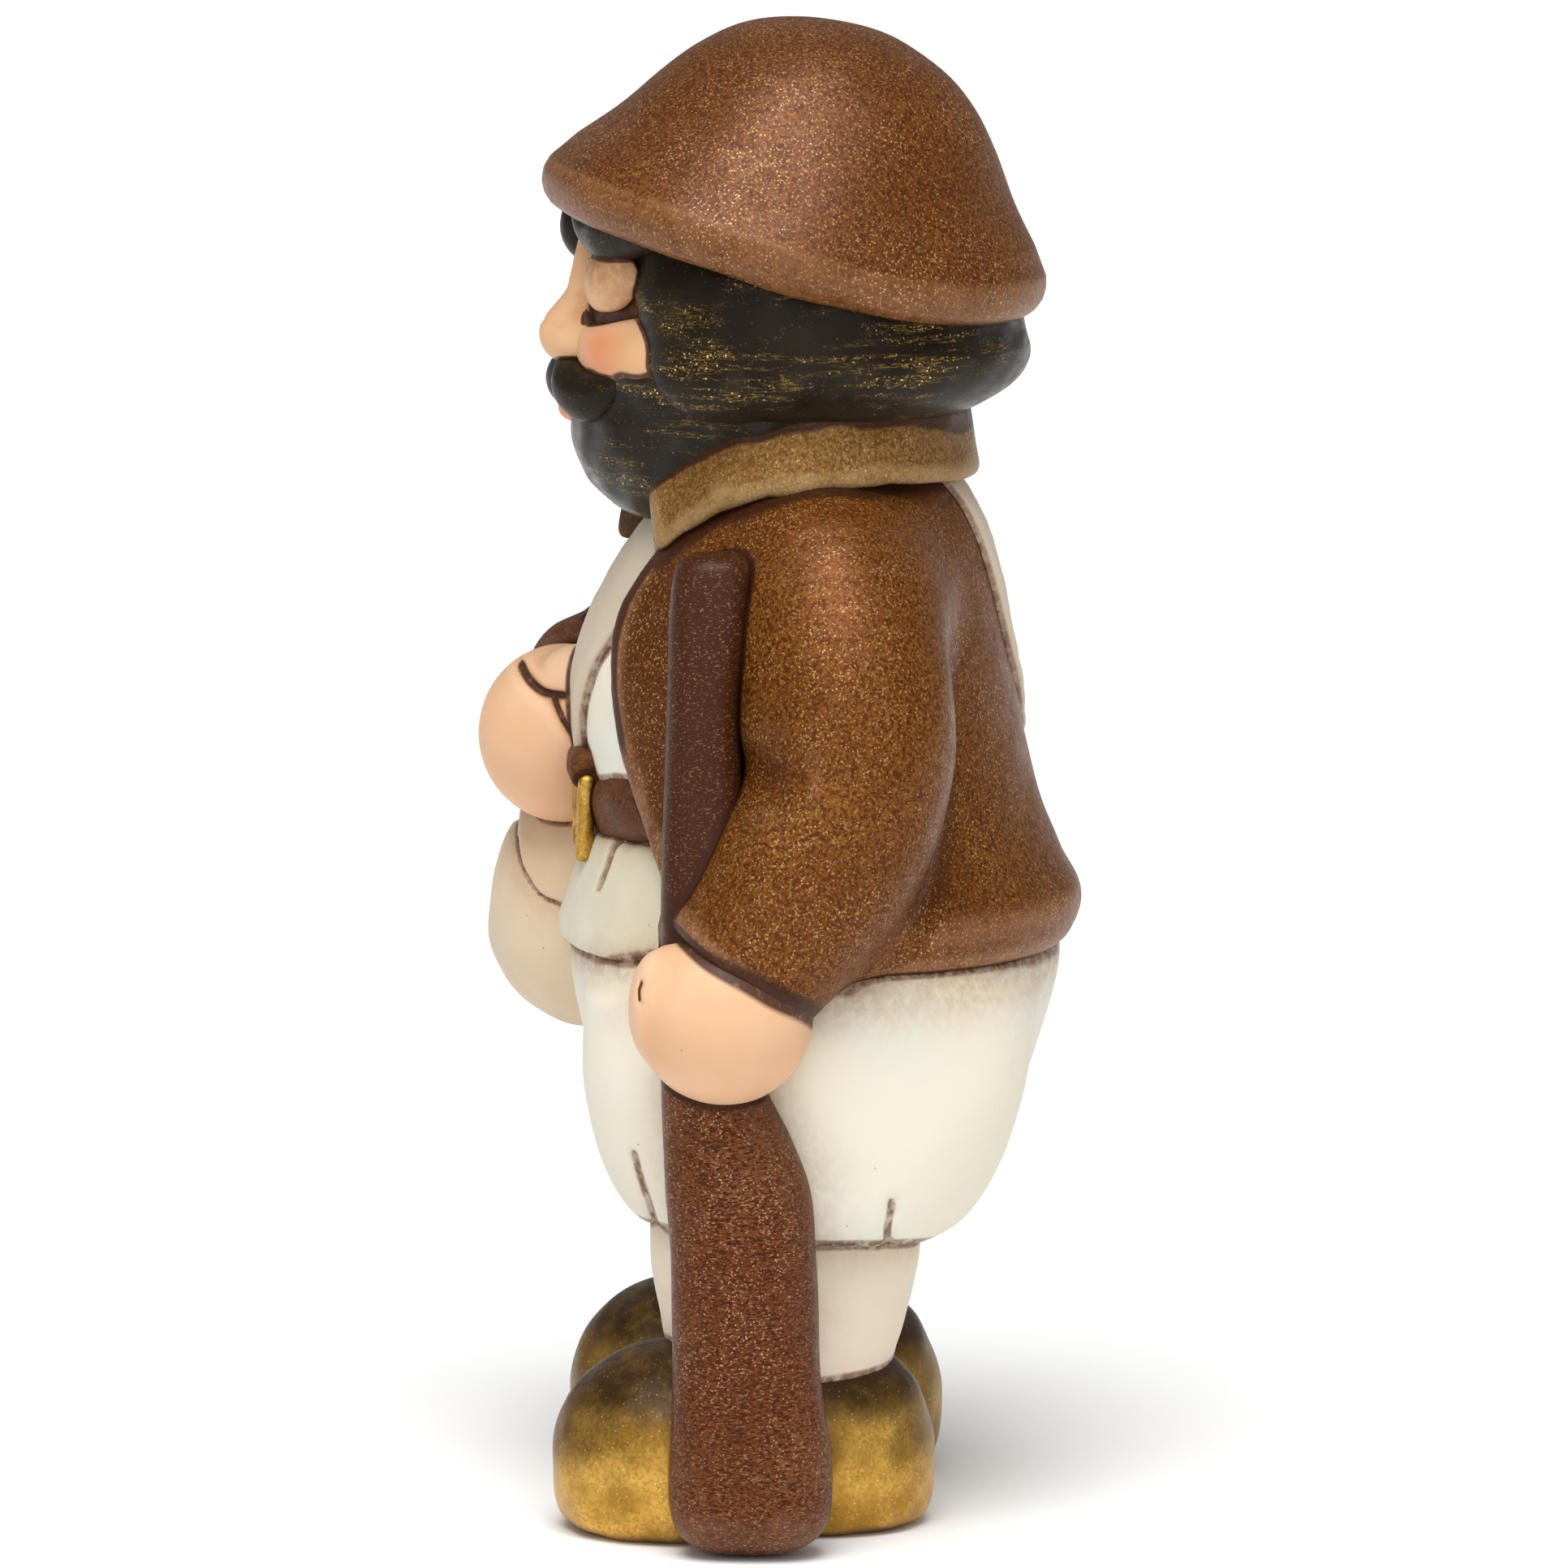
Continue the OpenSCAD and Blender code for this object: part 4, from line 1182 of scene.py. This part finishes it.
def cap(p):
    origin = np.array([0.0, 1.9, at("cap", w=-0.44)[2]])
    q = turned(p, origin, 0, -CAP_TILT) - origin
    q[:, 1] -= CAP_LEAN * np.clip(q[:, 2] / 24.0, 0, 1)
    q[:, 2] += (CAP_DROOP + CAP_BACK_DROOP * q[:, 1]) * q[:, 0] ** 2
    r = np.hypot(q[:, 0], q[:, 1])
    d = polygon_distance(np.stack([r, q[:, 2]], 1), CAP_OUTLINE)
    return d - 0.3 + hand_made(p, 0.12, 30, 3.0)


# ---------------------------------------------------------------- the pieces, from the ground up

def shoe_shade(p, side):
    """Smoky darkening over a shoe's top, toe and heel and beside the sock, partly real paint and partly
    painted shade; the right shoe is darker all over as painted shade.
    """
    ankle = near(sock(p, side), 3.5)
    top = smooth_step(p[:, 2], 8.5, 18.0) * 0.92
    toe = smooth_step(-p[:, 1], 15.0, 25.5) * smooth_step(p[:, 2], 3.0, 12.0) * 0.75
    heel = smooth_step(p[:, 1], 9.0, 17.5) * smooth_step(p[:, 2], 2.0, 12.0) * 0.6
    everywhere = np.full(len(p), 0.0 if side > 0 else 0.42)
    return np.maximum.reduce([ankle, top, toe, heel, everywhere])


def trouser_lines(p):
    folds = [near(line_distance(p, line) + only_left(p), 0.5) for line, _, _ in TROUSER_FOLDS]
    return np.maximum.reduce([*folds, beside(hem(p) - 0.3, 0.6)])


def face_line(p):
    return eye_line(head_space(p))


def build():
    for side, word in SIDES:
        this_sock, this_shoe = partial(sock, side=side), partial(shoe, side=side)
        # Painted shade, partly smoky paint, on the shoes
        piece("shoe_" + word, GOLD, this_shoe, wash=[(this_sock, 1.1), (staff, 0.5)],
              airbrush_and_shade=partial(shoe_shade, side=side))
        # Painted shade on the sock under the breeches
        piece("sock_" + word, STOCKING, this_sock, wash=[(this_shoe, 0.8), (breeches, 0.6)],
              airbrush_and_shade=lambda p: near(breeches(p), 2.5) * 0.5)
    piece("staff", STAFF, staff, wash=[(hand_left, 0.8), (sleeve_left, 0.8)],
          airbrush_and_shade=lambda p: smooth_step(p[:, 2], 58, 75) * (1 - 0.8 * smooth_step(-p[:, 1], 11.0, 12.3)))
    # Painted shade on the breeches under the jacket and the shirt tail and beside the staff
    piece("breeches", IVORY, breeches, wash=[(jacket, 1.2), (shirt_tail, 1.0)], lines=trouser_lines,
          airbrush_and_shade=lambda p: np.maximum.reduce([beside(jacket(p), 4.4), beside(shirt_tail(p), 3.0),
                                                0.5 * beside(staff(p), 3.0)]))
    piece("shirt", IVORY, shirt, wash=[(belt, 0.8), (satchel_strap_front, 0.8), (jacket, 0.4)])
    # Painted shade on the shirt tail near its lower edge and under the belt
    piece("shirt_tail", LINEN, shirt_tail, FINE, wash=[(belt, 0.7), (jacket, 0.4), (satchel, 0.8)],
          lines=lambda p: np.maximum(near(tail_fold(p), 0.9), beside(-tail_edge(p) - 0.3, 0.9)),
          airbrush_and_shade=lambda p: np.maximum(0.8 * beside(-tail_edge(p), 2.2), 0.7 * near(belt(p), 2.0)))
    piece("belt", BELT, belt, FINE, wash=[(buckle, 0.9), (jacket, 0.5)])
    piece("buckle", GOLD, buckle, FINE, wash=[(belt, 0.25)])
    piece("buckle_prong", GOLD, buckle_prong, FINE)
    piece("jacket", BROWN, jacket, shape=jacket_shape,
          wash=[(collar, 1.6), (breeches, 0.7), (staff, 0.8), (satchel_strap_back, 0.8),
                (satchel_strap_front, 1.6), (shirt, 0.7)],
          lines=lambda p: beside(opening(p) - 1.5, 0.6) * smooth_step(p[:, 2], 84.0, 92.0),
          shade=lambda p: 0.85 * smooth_step(-p[:, 1], 7.0, 13.0))
    piece("sleeve_left", BROWN, sleeve_left, wash=[(collar, 1.6), (hand_left, 1.5), (staff, 0.6)],
          lines=cuff_band, shade=lambda p: 0.75 * elbow_fold(p),
          shape=lambda p: sleeve_shape(p, CUFF_LEFT) + ELBOW_DEPTH * elbow_fold(p))
    # The right sleeve's front is darkened by wash colour and shade: painted shade, and partly a darker paint
    piece("sleeve_right", BROWN, sleeve_right,
          wash=[(collar, 1.2), (hand_right, 1.4), (satchel_strap_front, 1.0)],
          lines=lambda p: 0.55 * smooth_step(-p[:, 1], 9.0, 15.0),
          shade=lambda p: smooth_step(-p[:, 1], 8.0, 16.0), shape=lambda p: sleeve_shape(p, CUFF_RIGHT))
    piece("hand_left", SKIN, hand_left, FINE, wash=[(sleeve_left, 1.0)],
          lines=lambda p: near(thumb_line(p), 0.2))
    piece("hand_right", SKIN, hand_right, FINE, lines=lambda p: near(hand_right_crease(p), 0.6),
          wash=[(satchel_strap_front, 0.7), (buckle, 0.7), (sleeve_right, 0.6), (shirt, 0.8)])
    piece("satchel_strap_front", STRAP, satchel_strap_front, FINE,
          wash=[(jacket, 1.3), (collar, 0.8), (shirt, 0.9), (hand_right, 0.8)])
    piece("satchel_strap_back", STRAP, satchel_strap_back, wash=[(jacket, 0.8), (collar, 0.7)])
    # Painted shade on the bag under its flap
    piece("satchel", BEIGE, satchel, wash=[(shirt_tail, 0.5), (breeches, 0.8)],
          lines=lambda p: np.maximum(beside(flap_outline(p) - 0.15, 0.32), near(bag_fold(p), 0.6)),
          airbrush_and_shade=lambda p: beside(satchel_flap(p), 2.0) * 0.6)
    piece("satchel_flap", FLAP, satchel_flap, FINE, margin=8.0,
          wash=[(satchel, 0.25), (hand_right, 0.7)])
    # The collar's right point is darkened with wash colour as painted shade
    piece("collar", COLLAR, collar, 0.8 * PLAIN, wash=[(jacket, 0.7), (hair, 0.5), (beard, 0.7)],
          lines=lambda p: 0.62 * smooth_step(-p[:, 1], 14.0, 16.0) * (p[:, 0] < 0))
    brow_left = partial(brow, side=1)
    piece("head", FACE, head, 1.3 * FINE, lines=face_line,
          wash=[(hair, 0.5), (brow_left, 0.5), (partial(brow, side=-1), 0.5)])
    piece("nose", FACE, nose, FINE, wash=[(partial(moustache, side=1), 0.4)], lines=face_line,
          shade=lambda p: 0.5 * near(brow_left(p), 2.0), shape=lambda p: nose_form(head_space(p)))
    for side, word in SIDES:
        lid, puff, bristles, whisker = (partial(form, side=side) for form in (eyelid, cheek, brow, moustache))
        blush = (side * 10.6, -20.8, 132.6)
        piece("eyelid_" + word, LID, lid, FINE, wash=[(bristles, 0.5), (hair, 0.35)],
              lines=lambda p: 0.9 * near(np.minimum(lid_outline(head_space(p)) + 0.1, 0), 0.22),
              shade=lambda p: np.maximum(0.9 * beside(bristles(p), 4.2), 0.8 * beside(hair(p), 3.6)))
        piece("cheek_" + word, FACE, puff, FINE, wash=[(hair, 0.32), (beard, 0.4), (whisker, 0.4)],
              lines=face_line, airbrush_and_shade=lambda p: near(length(head_space(p) - blush), 3.0))
        piece("brow_" + word, WHISKERS, bristles, FINE, lines=lambda p: beside(lid(p), 0.4))
        piece("moustache_" + word, WHISKERS, whisker, FINE)
    piece("lower_lip", LIP, lower_lip, FINE, wash=[(beard, 0.4)])
    piece("beard", BEARD, beard, margin=9.0)
    piece("hair", HAIR, hair)
    piece("cap", CAP_BROWN, cap, wash=[(hair, 0.8)])


build()

# ---------------------------------------------------------------- floor, light and camera

# Half the floor's side in metres
FLOOR_HALF = 20.0


def pale_floor():
    mesh = bpy.data.meshes.new("floor")
    r, z = FLOOR_HALF, cad_bounds[0][2]
    mesh.from_pydata([(-r, -r, z), (r, -r, z), (r, r, z), (-r, r, z)], [], [(0, 1, 2, 3)])
    floor = bpy.data.objects.new("floor", mesh)
    bpy.context.scene.collection.objects.link(floor)
    paint = Paint("floor", roughness=0.7, specular=0.2)
    paint.coat(paint.between((0.955, 0.955, 0.955), (0.965, 0.965, 0.965), paint.noise(120.0)))
    mesh.materials.append(paint.done())


def towards(azimuth, elevation):
    """The direction of a place round the figure in degrees: azimuth 0 is the figure's front, 90 its left."""
    a, e = math.radians(azimuth), math.radians(elevation)
    return Vector((math.sin(a) * math.cos(e), -math.cos(a) * math.cos(e), math.sin(e)))


def soft_sun(name, azimuth, elevation, angle, strength):
    """A wide, even light; angle is how much of the sky it fills, in degrees."""
    data = bpy.data.lights.new(name, "SUN")
    data.energy = strength
    data.angle = math.radians(angle)
    light = bpy.data.objects.new(name, data)
    light.rotation_euler = towards(azimuth, elevation).to_track_quat("Z", "Y").to_euler()
    bpy.context.scene.collection.objects.link(light)


def lights():
    world = bpy.data.worlds.new("studio")
    world.use_nodes = True
    background = world.node_tree.nodes["Background"]
    background.inputs["Color"].default_value = (1, 1, 1, 1)
    background.inputs["Strength"].default_value = 0.29
    bpy.context.scene.world = world
    soft_sun("key", 84, 69, 42, 2.6)
    soft_sun("fill", 94, 30, 90, 1.25)


# The camera looks from the figure's left, a little from behind and from above
VIEW_AZIMUTH, VIEW_ELEVATION = 92.0, 8.5
# Its distance in metres and the width of its film in millimetres
VIEW_DISTANCE, FILM = 1.5, 36.0
# What it looks at: y in metres, and height as a share of the figure's
TARGET_Y, TARGET_HEIGHT = 0.0006, 0.48
# Width of the view at the figure's middle plane, as a share of the figure's height
VIEW_WIDTH = 1.0455


def camera():
    data = bpy.data.cameras.new("camera")
    height = cad_bounds[1][2] - cad_bounds[0][2]
    target = Vector((MIDDLE[0] * MM, TARGET_Y, cad_bounds[0][2] + height * TARGET_HEIGHT))
    away = towards(VIEW_AZIMUTH, VIEW_ELEVATION)
    data.sensor_width = FILM
    data.lens = FILM * VIEW_DISTANCE / (VIEW_WIDTH * height)
    data.clip_start, data.clip_end = 0.05, 50.0
    obj = bpy.data.objects.new("camera", data)
    obj.location = target + VIEW_DISTANCE * away
    obj.rotation_euler = (-away).to_track_quat("-Z", "Y").to_euler()
    bpy.context.scene.collection.objects.link(obj)
    bpy.context.scene.camera = obj


pale_floor()
lights()
camera()
bpy.context.scene.view_settings.view_transform = "Standard"
